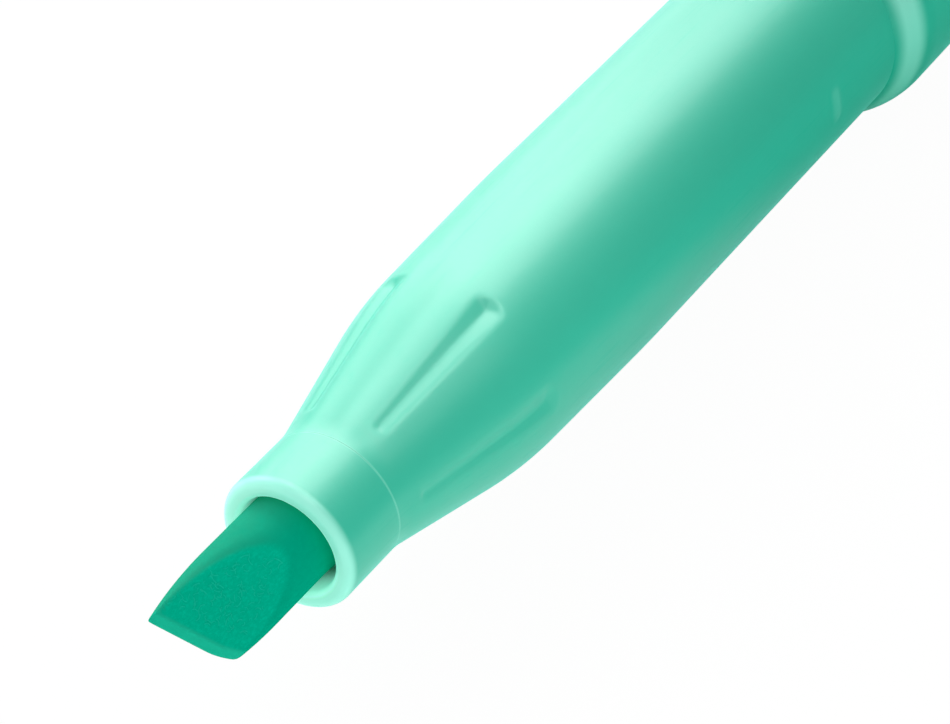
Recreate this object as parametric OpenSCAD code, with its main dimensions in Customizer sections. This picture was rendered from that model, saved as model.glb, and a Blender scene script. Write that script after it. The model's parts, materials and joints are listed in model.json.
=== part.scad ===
// Erasable highlighter with a slanted felt nib, a fluted nose and a cap posted on its tail.
// The pen lies along X with the nib toward -X. The origin is on its axis, halfway along the straight barrel.

/* [Nib] */
// Diameter of the felt rod
nib_d = 4.14; // [3.8:0.02:4.3]
// Reach of the chisel edge ahead of the nose, at the middle of the edge
nib_reach = 6.27; // [4:0.01:8]
// Slant of the chisel edge, from square across the rod
nib_slant = 20; // [0:1:35]
// Slope of each chisel face, from the middle of the wedge
nib_wedge = 20; // [15:1:35]
// Thickness of the chisel edge
nib_edge = 0.9; // [0.3:0.1:1.4]
// Roll of the chisel face about the pen, from straight up
nib_roll = 32; // [0:1:180]
// Depth of the rod's rear end in the ink core
nib_sunk = 6; // [3:0.5:10]
// Radial gap between the rod and its guide
nib_gap = 0.04; // [0.02:0.01:0.08]

/* [Nib holder] */
// Outside diameter of the collar at the nose
collar_d = 6.46; // [6.2:0.02:7]
// Length of the collar ahead of the barrel
collar_l = 3.56; // [2:0.1:5]
// Diameter of the recess round the nib
recess_d = 4.71; // [4.6:0.01:4.9]
// Depth of the recess
recess_l = 2.4; // [1:0.1:3]
// Rounding of the collar's front rim, outside
lip_r = 0.42; // [0.1:0.02:0.5]
// Rounding of the collar's front rim, inside
lip_in_r = 0.3; // [0.05:0.01:0.34]
// Wall of the plug round the guide
holder_wall = 0.55; // [0.4:0.05:0.7]
// Length of the plug inside the barrel
holder_l = 9; // [6:0.5:10]
// Height of the retaining beads on pressed pieces
bead_h = 0.12; // [0.05:0.01:0.2]
// Length of a retaining bead
bead_l = 0.8; // [0.6:0.1:1.2]
// Number of air channels along the guide
channel_count = 4; // [2:1:6]
// Width of an air channel
channel_w = 1.0; // [0.6:0.1:1.2]
// Roll of the first air channel about the pen, from straight up
channel_roll = 45; // [0:5:90]

/* [Section] */
// Angle of the flare behind the collar
flare_angle = 12; // [10:0.5:15]
// Radius where the flare leaves the collar
flare_in_r = 4; // [2:0.5:6]
// Radius where the flare runs out into the seat
flare_out_r = 22; // [10:1:26]
// Angle of the run-out ahead of the seat
runout_angle = 1.5; // [1:0.1:2.5]
// Diameter of the straight seat that takes the cap
seat_d = 10.28; // [10:0.02:10.6]
// Distance of the seat's start from the nose
seat_start = 21.5; // [19:0.5:25]
// Length of the seat, up to the shoulder
seat_l = 21.8; // [14:0.1:26]
// Wall of the tenon pressed into the barrel
tenon_wall = 0.75; // [0.6:0.05:0.8]
// Length of the tenon pressed into the barrel
tenon_l = 9; // [6:0.5:12]
// Number of flutes round the flare
flute_count = 6; // [3:1:8]
// Roll of the first flute about the pen, from straight up
flute_roll = 20; // [0:1:60]
// Distance of the flutes' front ends behind the collar
flute_front = 1.65; // [1.2:0.05:2.5]
// Length of a flute between the centres of its ends
flute_l = 7.4; // [4:0.1:8]
// Radius of a flute's cutter at the front end
flute_front_r = 0.3; // [0.2:0.02:0.4]
// Radius of a flute's cutter at the rear end
flute_rear_r = 0.7; // [0.5:0.05:0.9]
// Depth of a flute at the front end
flute_front_depth = 0.1; // [0.05:0.01:0.15]
// Depth of a flute at the rear end
flute_depth = 0.36; // [0.1:0.02:0.45]
// Number of snap nubs on the seat
nub_count = 3; // [2:1:4]
// Roll of the first nub about the pen, from straight up
nub_roll = 81; // [0:1:120]
// Distance of the nubs from the shoulder
nub_place = 5.8; // [3:0.1:7]
// Length of a nub round the seat
nub_l = 0.7; // [0.4:0.1:2]
// Height of a nub
nub_h = 0.14; // [0.06:0.02:0.2]
// Radius of a nub's section
nub_r = 0.26; // [0.22:0.02:0.4]

/* [Barrel] */
// Outside diameter of the barrel
barrel_d = 12; // [11.7:0.1:13]
// Length of the barrel behind the shoulder
barrel_l = 64.7; // [50:0.1:80]
// Wall of the barrel
barrel_wall = 1; // [0.7:0.05:1.1]
// Slope of the shoulder where it leaves the seat
shoulder_angle = 34; // [26:1:40]
// Radius that rounds the shoulder into the barrel
shoulder_r = 5; // [3:0.5:7]
// Rounding of the barrel's rear edge
barrel_edge_r = 0.4; // [0.1:0.05:0.6]
// Number of ribs that hold the core inside
rib_count = 4; // [3:1:6]
// Width of a rib
rib_w = 1; // [0.6:0.1:1.5]

/* [Ink core] */
// Diameter of the fibre
core_d = 7.2; // [6.8:0.1:7.4]
// Length of the fibre
core_l = 76; // [60:1:77]
// Thickness of the film round the fibre
film_t = 0.12; // [0.06:0.01:0.15]
// Radial gap inside and outside the film
film_gap = 0.03; // [0.02:0.01:0.05]

/* [Tail] */
// Length of the plug's skirt inside the barrel
skirt_l = 9; // [6:0.5:12]
// Wall of the skirt
skirt_wall = 0.9; // [0.6:0.05:1.2]
// Length of the spigot behind the barrel
spigot_l = 13; // [9:0.5:16]
// Rounding of the spigot's rear edge
spigot_edge_r = 0.8; // [0.2:0.1:1.2]
// Thickness of the web between the hollow and the socket
web_t = 1.2; // [0.8:0.1:2]
// Thickness of the cross that stops the core
cross_t = 0.9; // [0.6:0.1:1.4]
// Gap between the cross and the core
cross_gap = 0.1; // [0.05:0.05:0.3]
// Diameter of the eraser's head
eraser_d = 7.2; // [6:0.1:7.8]
// Length of the eraser's head
eraser_l = 6; // [4:0.5:8]
// Rounding of the eraser's end
eraser_r = 2.6; // [1:0.1:2.8]
// Diameter of the eraser's stem
stem_d = 4.2; // [3.4:0.1:5]
// Length of the eraser's stem
stem_l = 5; // [3:0.5:7]
// Gap between pressed pieces
press_gap = 0.02; // [0.01:0.005:0.03]

/* [Cap] */
// Radial gap between the cap and the seat or the spigot
cap_gap = 0.08; // [0.05:0.01:0.1]
// Wall of the cap at its mouth
cap_wall = 0.88; // [0.8:0.02:1.2]
// Loss of the cap's outside radius from mouth to crown
cap_draft = 0.2; // [0:0.05:0.3]
// Thickness of the crown
crown_t = 1.4; // [1:0.1:2]
// Rounding of the crown's edge
crown_r = 1.1; // [0.4:0.1:1.2]
// Rounding of the mouth's edge
mouth_r = 0.25; // [0.1:0.05:0.35]
// Wall of the cap beside the crown
crown_wall = 1; // [0.8:0.05:1.2]
// Length of the straight bore behind the mouth
cap_bore_l = 24; // [21:0.5:28]
// Length of the taper behind the straight bore
cap_taper_l = 8; // [4:0.5:9]
// Depth of the groove that takes the nubs
snap_depth = 0.16; // [0.1:0.02:0.24]
// Length of the groove that takes the nubs
snap_l = 1; // [0.8:0.1:1.4]
// Gap between the posted cap and the barrel
post_gap = 0.1; // [0.05:0.05:0.3]
// Number of vents in the crown
vent_count = 3; // [2:1:4]
// Diameter of a vent
vent_d = 1.1; // [0.6:0.1:1.2]
// Room in front of the nib when the pen is capped
nib_room = 0.8; // [0.5:0.1:2]

/* [Inner cap] */
// Thickness of the inner cap's end
seal_t = 1; // [0.8:0.1:1.5]
// Wall of the inner cap's skirt
seal_wall = 0.7; // [0.5:0.05:0.8]
// Length of the flange in the crown
flange_l = 1.2; // [0.8:0.1:2]
// Length of the collar that the skirt covers when the pen is capped
seal_cover = 3; // [2:0.1:3.4]
// Radial gap between the skirt and the collar
seal_gap = 0.06; // [0.04:0.01:0.1]

/* [Clip] */
// Width of the clip
clip_w = 4.6; // [3.6:0.1:5.4]
// Length of the clip from its hinge to its tip
clip_l = 35; // [24:0.5:36]
// Thickness of the clip
clip_t = 1.5; // [1.2:0.1:2]
// Gap between the clip and the cap
clip_space = 1.3; // [0.9:0.1:2]
// Gap between the clip's pad and the cap
pad_gap = 0.3; // [0.25:0.05:0.6]
// Length of the clip's pad
pad_l = 5; // [3:0.5:8]
// Distance of the pad from the clip's tip
pad_place = 3; // [2:0.5:5]
// Roll of the clip about the pen, from straight up
clip_roll = 118; // [0:1:180]
// Length of the boss that carries the clip
boss_l = 5.5; // [4:0.5:8]
// Gap at the clip's hinge
hinge_gap = 0.2; // [0.15:0.05:0.3]

/* [Hidden] */
$fn = 96;
arc_steps = 8;
// Overlap that makes a cut or a joined rib run past its face
over = 0.4;
// Rounding of the two edges that meet in the fine seam behind the collar
seam_r = 0.06;
// Straight land between that seam and the flare
seam_land = 0.1;
// Room behind a pressed plug or tenon
end_room = 0.5;
// Length of bore ahead of the core
bore_lead = 1;
// Narrowing of the felt rod's rear end, and its length
nib_taper = 0.8;
nib_taper_l = 2;
// Crown left between a vent and the cap's side wall
vent_margin = 0.04;

mint = [0.42, 0.84, 0.73];
ink = [0.05, 0.62, 0.48];
film_colour = [0.93, 0.95, 0.95];
natural = [0.90, 0.93, 0.91];
rubber = [0.86, 0.93, 0.90];

// Places along the pen, measured from the front face of the nose toward the tail
guide_d = nib_d + 2 * nib_gap;
plug_d = guide_d + 2 * holder_wall;
throat_d = plug_d + 2 * press_gap;
plug_end = collar_l + holder_l;
bead_start = collar_l + holder_l / 2;
flare_start = collar_l + seam_land + flare_in_r * tan(flare_angle / 2);
flare_slope = tan(flare_angle);
runout_slope = tan(runout_angle);
flare_end = (seat_d / 2 - collar_d / 2 + flare_start * flare_slope - seat_start * runout_slope)
          / (flare_slope - runout_slope);
shoulder = seat_start + seat_l;
shoulder_top = shoulder + (barrel_d - seat_d) / 2 / tan(shoulder_angle);
barrel_start = shoulder_top + shoulder_r * tan(shoulder_angle / 2);
barrel_end = shoulder + barrel_l;
grip_middle = (barrel_start + barrel_end - barrel_edge_r) / 2;

film_d = core_d + 2 * (film_gap + film_t);
core_bore_d = film_d + 2 * film_gap;
barrel_bore_d = barrel_d - 2 * barrel_wall;
skirt_d = barrel_bore_d - 2 * press_gap;
skirt_start = barrel_end - skirt_l;
core_end = skirt_start - cross_gap;
core_start = core_end - core_l;
nib_end = core_start + nib_sunk;
throat_end = plug_end + end_room;
core_bore_start = core_start - bore_lead;

// Tenon of the section and its socket, which opens into the wider bore of the barrel
tenon_d = core_bore_d + 2 * tenon_wall;
tenon_end = shoulder + tenon_l;
tenon_bead = shoulder + tenon_l / 2;
mouth_d = tenon_d + 2 * press_gap;
mouth_end = tenon_end + end_room;
bore_start = mouth_end + (barrel_bore_d - mouth_d) / 2;

spigot_d = seat_d;
spigot_end = barrel_end + spigot_l;
socket_d = stem_d + 2 * press_gap;
socket_floor = spigot_end - stem_l - press_gap;
hollow_end = socket_floor - web_t;
eraser_end = spigot_end + eraser_l;

// Places in the cap, measured from its mouth toward its crown
cap_bore_d = seat_d + 2 * cap_gap;
cap_d = cap_bore_d + 2 * cap_wall;
crown_d = cap_d - 2 * cap_draft;
nib_length_ahead = nib_reach + nib_d / 2 * tan(nib_slant);
cap_depth = shoulder + nib_length_ahead + nib_room + seal_t;
cap_l = cap_depth + crown_t;
crown_bore_d = crown_d - 2 * crown_wall;
cap_mouth = barrel_end + post_gap;
seal_d = collar_d + 2 * seal_gap;
seal_out_d = seal_d + 2 * seal_wall;
flange_d = crown_bore_d - 2 * press_gap;
seal_l = seal_t + nib_room + nib_length_ahead + seal_cover;
vent_place = (crown_bore_d - vent_d) / 2 - vent_margin;
boss_end = cap_l - crown_r;
hinge_place = boss_end - boss_l;
clip_tip = hinge_place - hinge_gap - clip_l;
clip_in_r = cap_d / 2 + clip_space;
clip_out_r = clip_in_r + clip_t;

// Unit vector along v
function unit(v) = v / norm(v);

// Points of the arc that rounds corner b, given as [radius, place, rounding], between its neighbours a and c
function corner_arc(a, b, c) =
    let (p = [b.x, b.y],
         u = unit([a.x, a.y] - p),
         v = unit([c.x, c.y] - p),
         half = acos(u * v) / 2,
         centre = p + unit(u + v) * b.z / sin(half),
         first = p + u * b.z / tan(half) - centre,
         start = atan2(first.y, first.x),
         turn = (u.x * v.y - u.y * v.x > 0 ? -1 : 1) * (180 - 2 * half))
    [for (i = [0:arc_steps])
        let (angle = start + turn * i / arc_steps)
        centre + b.z * [cos(angle), sin(angle)]];

// Closed outline through corners [radius, place, rounding]
function rounded(corners) =
    let (n = len(corners))
    [for (i = [0:n - 1])
        each corners[i].z == 0
            ? [[corners[i].x, corners[i].y]]
            : corner_arc(corners[(i + n - 1) % n], corners[i], corners[(i + 1) % n])];

// Corners of a retaining bead that stands on a pressed surface
function bead(radius, place, height) =
    [[radius, place, 0], [radius + height, place + bead_l / 4, 0],
     [radius + height, place + 3 * bead_l / 4, 0], [radius, place + bead_l, 0]];

// Corners of the groove that takes a bead, in the order of an inside wall
function groove(radius, place) =
    let (room = bead(radius, place - press_gap, bead_h + press_gap))
    [for (i = [3:-1:0]) room[i] + [0, i > 1 ? 2 * press_gap : 0, 0]];

// Radius of the unrounded flare at a place along the pen
function flare_r(place) =
    min(collar_d / 2 + (place - flare_start) * flare_slope,
        seat_d / 2 - (seat_start - place) * runout_slope);

// Outside radius of the cap at a place from its mouth
function cap_r(place) = cap_d / 2 - cap_draft * place / cap_l;

// Turns shapes modelled along +Z, with +X as straight up, to lie along the pen
module along_pen() {
    translate([-grip_middle, 0, 0]) rotate([180, 0, 0]) rotate([0, 90, 0]) children();
}

// Lies along the pen, measured from the mouth of the posted cap
module along_cap() {
    along_pen() translate([0, 0, cap_mouth]) children();
}

// Copies set evenly round the pen
module around(count, roll) {
    for (i = [0:count - 1]) rotate(roll + i * 360 / count) children();
}

module revolved(corners) {
    rotate_extrude() polygon(rounded(corners));
}

module nib() {
    wedge_l = (nib_d - nib_edge) / 2 / tan(nib_wedge) + nib_d;
    far = nib_end + 2 * nib_d;
    rear_r = nib_d / 2 - nib_taper;
    color(ink) along_pen() rotate(nib_roll) intersection() {
        revolved([[0, -nib_reach - nib_d, 0], [nib_d / 2, -nib_reach - nib_d, 0],
                  [nib_d / 2, nib_end - nib_taper_l, 0], [rear_r, nib_end, 0], [0, nib_end, 0]]);
        translate([0, 0, -nib_reach]) rotate([nib_slant, 0, 0]) rotate([90, 0, 0])
            linear_extrude(4 * far, center = true)
                polygon([[-nib_edge / 2, 0], [nib_edge / 2, 0],
                         [nib_edge / 2 + wedge_l * tan(nib_wedge), wedge_l], [nib_d, 2 * far],
                         [-nib_d, 2 * far], [-nib_edge / 2 - wedge_l * tan(nib_wedge), wedge_l]]);
    }
}

module nib_holder() {
    color(mint) along_pen() difference() {
        revolved([[recess_d / 2, 0, lip_in_r], [collar_d / 2, 0, lip_r], [collar_d / 2, collar_l, seam_r],
                  [plug_d / 2, collar_l, 0], each bead(plug_d / 2, bead_start, bead_h),
                  [plug_d / 2, plug_end, 0], [guide_d / 2, plug_end, 0], [guide_d / 2, recess_l, 0],
                  [recess_d / 2, recess_l - (recess_d - guide_d) / 2, 0]]);
        around(channel_count, channel_roll)
            translate([0, -channel_w / 2, recess_l - over])
                cube([recess_d / 2, channel_w, plug_end]);
    }
}

// Channel that narrows toward the nose, with round ends
module flute() {
    front = collar_l + flute_front;
    rear = front + flute_l;
    front_x = flare_r(front) + flute_front_r - flute_front_depth;
    rear_x = flare_r(rear) + flute_rear_r - flute_depth;
    reach = norm([rear_x - front_x, flute_l]);
    translate([front_x, 0, front]) rotate([0, atan2(rear_x - front_x, flute_l), 0]) {
        sphere(flute_front_r);
        cylinder(h = reach, r1 = flute_front_r, r2 = flute_rear_r);
        translate([0, 0, reach]) sphere(flute_rear_r);
    }
}

// Short bead with round ends, standing on the seat
module snap_nub() {
    ring_r = seat_d / 2 + nub_h - nub_r;
    spread = nub_l / ring_r * 180 / PI;
    translate([0, 0, shoulder - nub_place]) {
        rotate(-spread / 2) {
            rotate_extrude(angle = spread) translate([ring_r, 0]) circle(nub_r);
            translate([ring_r, 0, 0]) sphere(nub_r);
        }
        rotate(spread / 2) translate([ring_r, 0, 0]) sphere(nub_r);
    }
}

module section() {
    color(mint) along_pen() {
        difference() {
            revolved([[throat_d / 2, collar_l, 0], [collar_d / 2, collar_l, seam_r],
                      [collar_d / 2, flare_start, flare_in_r], [flare_r(flare_end), flare_end, flare_out_r],
                      [seat_d / 2, seat_start, 0], [seat_d / 2, shoulder, 0], [tenon_d / 2, shoulder, 0],
                      each bead(tenon_d / 2, tenon_bead, bead_h), [tenon_d / 2, tenon_end, 0],
                      [core_bore_d / 2, tenon_end, 0], [core_bore_d / 2, core_bore_start, 0],
                      [throat_d / 2, throat_end, 0], each groove(throat_d / 2, bead_start)]);
            around(flute_count, flute_roll) flute();
        }
        around(nub_count, nub_roll) snap_nub();
    }
}

// Rib along the inside of the barrel that holds the core on the axis
module core_rib() {
    translate([core_bore_d / 2, -rib_w / 2, bore_start])
        cube([(barrel_bore_d - core_bore_d) / 2 + over, rib_w, skirt_start - bore_start - over]);
}

module barrel() {
    color(mint) along_pen() {
        revolved([[mouth_d / 2, shoulder, 0], [seat_d / 2, shoulder, 0],
                  [barrel_d / 2, shoulder_top, shoulder_r], [barrel_d / 2, barrel_end, barrel_edge_r],
                  [barrel_bore_d / 2, barrel_end, 0], [barrel_bore_d / 2, bore_start, 0],
                  [mouth_d / 2, mouth_end, 0], each groove(mouth_d / 2, tenon_bead)]);
        around(rib_count, 0) core_rib();
    }
}

module ink_core() {
    pocket_d = nib_d + 2 * nib_gap;
    color(ink) along_pen() difference() {
        translate([0, 0, core_start]) cylinder(h = core_l, d = core_d);
        translate([0, 0, core_start - over]) cylinder(h = nib_sunk + over + nib_gap, d = pocket_d);
    }
}

module core_film() {
    color(film_colour) along_pen() translate([0, 0, core_start]) difference() {
        cylinder(h = core_l, d = film_d);
        translate([0, 0, -over]) cylinder(h = core_l + 2 * over, d = core_d + 2 * film_gap);
    }
}

module tail_plug() {
    hollow_r = skirt_d / 2 - skirt_wall;
    cross_l = hollow_end - skirt_start + over;
    color(mint) along_pen() {
        revolved([[hollow_r, skirt_start, 0], [skirt_d / 2, skirt_start, 0], [skirt_d / 2, barrel_end, 0],
                  [spigot_d / 2, barrel_end, 0], [spigot_d / 2, spigot_end, spigot_edge_r],
                  [socket_d / 2, spigot_end, 0], [socket_d / 2, socket_floor, 0], [0, socket_floor, 0],
                  [0, hollow_end, 0], [hollow_r, hollow_end, 0]]);
        for (turn = [0, 90])
            rotate(turn) translate([-hollow_r - over, -cross_t / 2, skirt_start])
                cube([2 * (hollow_r + over), cross_t, cross_l]);
    }
}

module eraser() {
    color(rubber) along_pen()
        revolved([[0, socket_floor + press_gap, 0], [stem_d / 2, socket_floor + press_gap, 0],
                  [stem_d / 2, spigot_end + press_gap, 0], [eraser_d / 2, spigot_end + press_gap, 0],
                  [eraser_d / 2, eraser_end, eraser_r], [0, eraser_end, 0]]);
}

// Solid across the clip's width, from its side outline in [place, radius]
module clip_side(outline) {
    rotate([0, -90, -90]) linear_extrude(clip_w, center = true) polygon(outline);
}

// Boss on the cap that carries the root of the clip
module clip_boss() {
    intersection() {
        clip_side([[hinge_place, cap_d / 2 - over - cap_draft], [hinge_place, clip_out_r + over],
                   [boss_end - clip_t, clip_out_r + over], [boss_end, clip_in_r - clip_t],
                   [boss_end, cap_d / 2 - over - cap_draft]]);
        cylinder(h = cap_l, r = clip_out_r);
    }
}

module cap() {
    snap_front = nub_place - snap_l / 2;
    snap_rear = nub_place + snap_l / 2;
    snap_r = cap_bore_d / 2 + snap_depth;
    taper_end = cap_bore_l + cap_taper_l;
    color(mint) along_cap() {
        difference() {
            revolved([[cap_bore_d / 2, 0, 0], [cap_d / 2, 0, mouth_r], [crown_d / 2, cap_l, crown_r],
                      [0, cap_l, 0], [0, cap_depth, 0], [crown_bore_d / 2, cap_depth, 0],
                      [crown_bore_d / 2, taper_end, 0], [cap_bore_d / 2, cap_bore_l, 0],
                      [cap_bore_d / 2, snap_rear, 0], [snap_r, snap_rear - snap_depth, 0],
                      [snap_r, snap_front + snap_depth, 0], [cap_bore_d / 2, snap_front, 0]]);
            around(vent_count, clip_roll + 180)
                translate([vent_place, 0, cap_depth - over]) cylinder(h = crown_t + 2 * over, d = vent_d);
        }
        rotate(clip_roll) clip_boss();
    }
}

module inner_cap() {
    seal_start = cap_depth - press_gap - seal_l;
    seal_end = cap_depth - press_gap;
    color(natural) along_cap() difference() {
        revolved([[seal_d / 2, seal_start, 0], [seal_out_d / 2, seal_start, 0],
                  [seal_out_d / 2, seal_end - flange_l, 0], [flange_d / 2, seal_end - flange_l, 0],
                  [flange_d / 2, seal_end, 0], [0, seal_end, 0], [0, seal_end - seal_t, 0],
                  [seal_d / 2, seal_end - seal_t, 0]]);
        around(vent_count, clip_roll + 180)
            translate([seal_out_d / 2, -vent_d, seal_end - flange_l - over])
                cube([flange_d, 2 * vent_d, flange_l + 2 * over]);
    }
}

module clip() {
    root = hinge_place - hinge_gap;
    pad_r = cap_r(clip_tip) + pad_gap;
    pad_start = clip_tip + pad_place;
    color(mint) along_cap() rotate(clip_roll) intersection() {
        clip_side([[root, clip_in_r], [root, clip_out_r + over], [clip_tip, clip_out_r + over],
                   [clip_tip, clip_in_r], [pad_start, pad_r], [pad_start + pad_l / 3, pad_r],
                   [pad_start + pad_l, clip_in_r]]);
        cylinder(h = cap_l, r = clip_out_r);
        // Plan of the clip, round at its tip
        rotate([0, 90, 0]) linear_extrude(clip_out_r + over) {
            translate([-root, -clip_w / 2]) square([clip_l - clip_w / 2, clip_w]);
            translate([-clip_tip - clip_w / 2, 0]) circle(d = clip_w);
        }
    }
}

nib();
nib_holder();
section();
barrel();
ink_core();
core_film();
tail_plug();
eraser();
cap();
inner_cap();
clip();
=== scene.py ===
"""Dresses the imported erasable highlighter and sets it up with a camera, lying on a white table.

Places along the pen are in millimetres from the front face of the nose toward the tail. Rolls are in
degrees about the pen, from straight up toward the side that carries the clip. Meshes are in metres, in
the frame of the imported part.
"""

import json
import logging
import math
from dataclasses import dataclass
from enum import Enum
from typing import Any, Callable, Mapping, Optional, Sequence, Union

import bmesh
import bpy
import numpy as np
from mathutils import Matrix, Vector, noise

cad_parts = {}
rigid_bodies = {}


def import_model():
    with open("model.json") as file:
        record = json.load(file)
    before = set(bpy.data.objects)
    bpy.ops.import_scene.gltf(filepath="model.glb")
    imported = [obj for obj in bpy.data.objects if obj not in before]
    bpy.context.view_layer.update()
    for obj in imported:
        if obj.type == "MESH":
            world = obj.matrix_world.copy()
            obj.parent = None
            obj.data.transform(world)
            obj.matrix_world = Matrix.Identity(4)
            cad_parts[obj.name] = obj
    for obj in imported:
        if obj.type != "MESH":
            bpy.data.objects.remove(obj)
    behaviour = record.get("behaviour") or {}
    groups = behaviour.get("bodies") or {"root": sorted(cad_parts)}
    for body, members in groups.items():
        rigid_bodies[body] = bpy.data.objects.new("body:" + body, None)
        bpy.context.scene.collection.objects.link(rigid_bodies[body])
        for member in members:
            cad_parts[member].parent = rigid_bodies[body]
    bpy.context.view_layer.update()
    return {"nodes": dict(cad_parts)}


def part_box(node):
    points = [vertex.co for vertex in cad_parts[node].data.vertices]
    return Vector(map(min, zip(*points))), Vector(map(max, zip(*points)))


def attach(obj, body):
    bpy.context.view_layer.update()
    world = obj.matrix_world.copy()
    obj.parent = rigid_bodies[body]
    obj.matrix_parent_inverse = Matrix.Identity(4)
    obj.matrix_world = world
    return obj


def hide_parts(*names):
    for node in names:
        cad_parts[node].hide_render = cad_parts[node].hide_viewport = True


LOG = logging.getLogger("highlighter")
MM = 0.001
TOUCHING = 0.01
EDGE_POINTS = 6
BLACK = (0.0, 0.0, 0.0)
WHITE = (1.0, 1.0, 1.0, 1.0)

Array = np.ndarray
Mesh = bpy.types.Mesh
Material = bpy.types.Material
Socket = bpy.types.NodeSocket
Pair = tuple[float, float]
Triple = tuple[float, float, float]
Band = tuple[float, float, float, float]
Corner = tuple[float, ...]
Warp = Callable[[Array, Array, Array], Array]


class Body(Enum):
    """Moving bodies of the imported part."""

    PEN = "pen"
    CAP = "cap_body"
    CLIP = "clip_body"


class Slot(Enum):
    """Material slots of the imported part."""

    PLASTIC = "body_plastic"
    FELT = "nib_felt"
    CORE = "core_fibre"
    FILM = "film"
    RUBBER = "eraser_rubber"
    SEAL = "seal_plastic"


# Shapes


def soft_step(low: float, high: float, value: Any) -> Array:
    """Soft step from 0 at low to 1 at high."""
    t = np.clip((np.asarray(value, float) - low) / (high - low), 0.0, 1.0)
    return t * t * (3.0 - 2.0 * t)


def soft_max(a: Array, b: Array, blend: Any) -> Array:
    """Larger of two distances, with the edge between them rounded over the blend."""
    share = np.maximum(blend - np.abs(a - b), 0.0) / blend
    return np.maximum(a, b) + share * share * blend / 4.0


def between(ends: Pair, share: Any) -> Any:
    """Value at a share of the way from one end to the other."""
    return ends[0] + (ends[1] - ends[0]) * share


def points_of(mesh: Mesh) -> Array:
    """Points of a mesh, in metres."""
    return np.array([vertex.co for vertex in mesh.vertices])


def radii_of(mesh: Mesh) -> Array:
    """Distances of a mesh's points from the pen's axis, in millimetres."""
    return np.hypot(*points_of(mesh).T[1:]) / MM


def mark(mesh: Mesh, name: str, shares: Array) -> None:
    """Stores a share for each point of a mesh as an attribute."""
    mesh.attributes.new(name, "FLOAT", "POINT").data.foreach_set("value", shares)


@dataclass(frozen=True)
class PenAxis:
    """The pen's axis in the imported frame, with the X of the nose's front face in metres."""

    nose_x: float

    def x(self, place: float) -> float:
        """X in metres of a place along the pen."""
        return self.nose_x + place * MM

    def lay(self, roll: Any, out: Any, place: Any, across: Any = 0.0) -> Array:
        """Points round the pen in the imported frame.

        Args:
            roll: Roll of the direction that points out, in degrees.
            out: Distance from the axis in that direction, in millimetres.
            place: Place along the axis.
            across: Distance square to both, toward larger rolls, in millimetres.

        Returns:
            Points in metres, with the coordinates last.
        """
        turn, out, place, across = np.broadcast_arrays(np.radians(roll), out, place, across)
        y = -out * np.sin(turn) - across * np.cos(turn)
        z = out * np.cos(turn) - across * np.sin(turn)
        return np.stack([self.nose_x + place * MM, y * MM, z * MM], axis=-1)


@dataclass(frozen=True)
class Around:
    """Things set evenly round the pen, the first of them at a roll."""

    count: int
    roll: float = 0.0

    def rolls(self) -> Array:
        """Rolls of their middles."""
        return self.roll + np.arange(self.count) * 360.0 / self.count

    def off(self, roll: Array) -> Array:
        """Turn from the nearest middle, in degrees."""
        pitch = 360.0 / self.count
        return (roll - self.roll + pitch / 2.0) % pitch - pitch / 2.0

    def side(self, radius: Array, roll: Array) -> Array:
        """Distance from the nearest middle, round the pen."""
        return radius * np.radians(self.off(roll))

    def columns(self, over: Sequence[float]) -> Array:
        """Rolls of columns that are given about each middle."""
        return np.add.outer(self.rolls(), over).ravel()

    def edges(self, half: float, step: float = 0.1) -> Array:
        """Rolls of columns close to both edges of each."""
        return self.columns([-half - step, -half + step, half - step, half + step])


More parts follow.
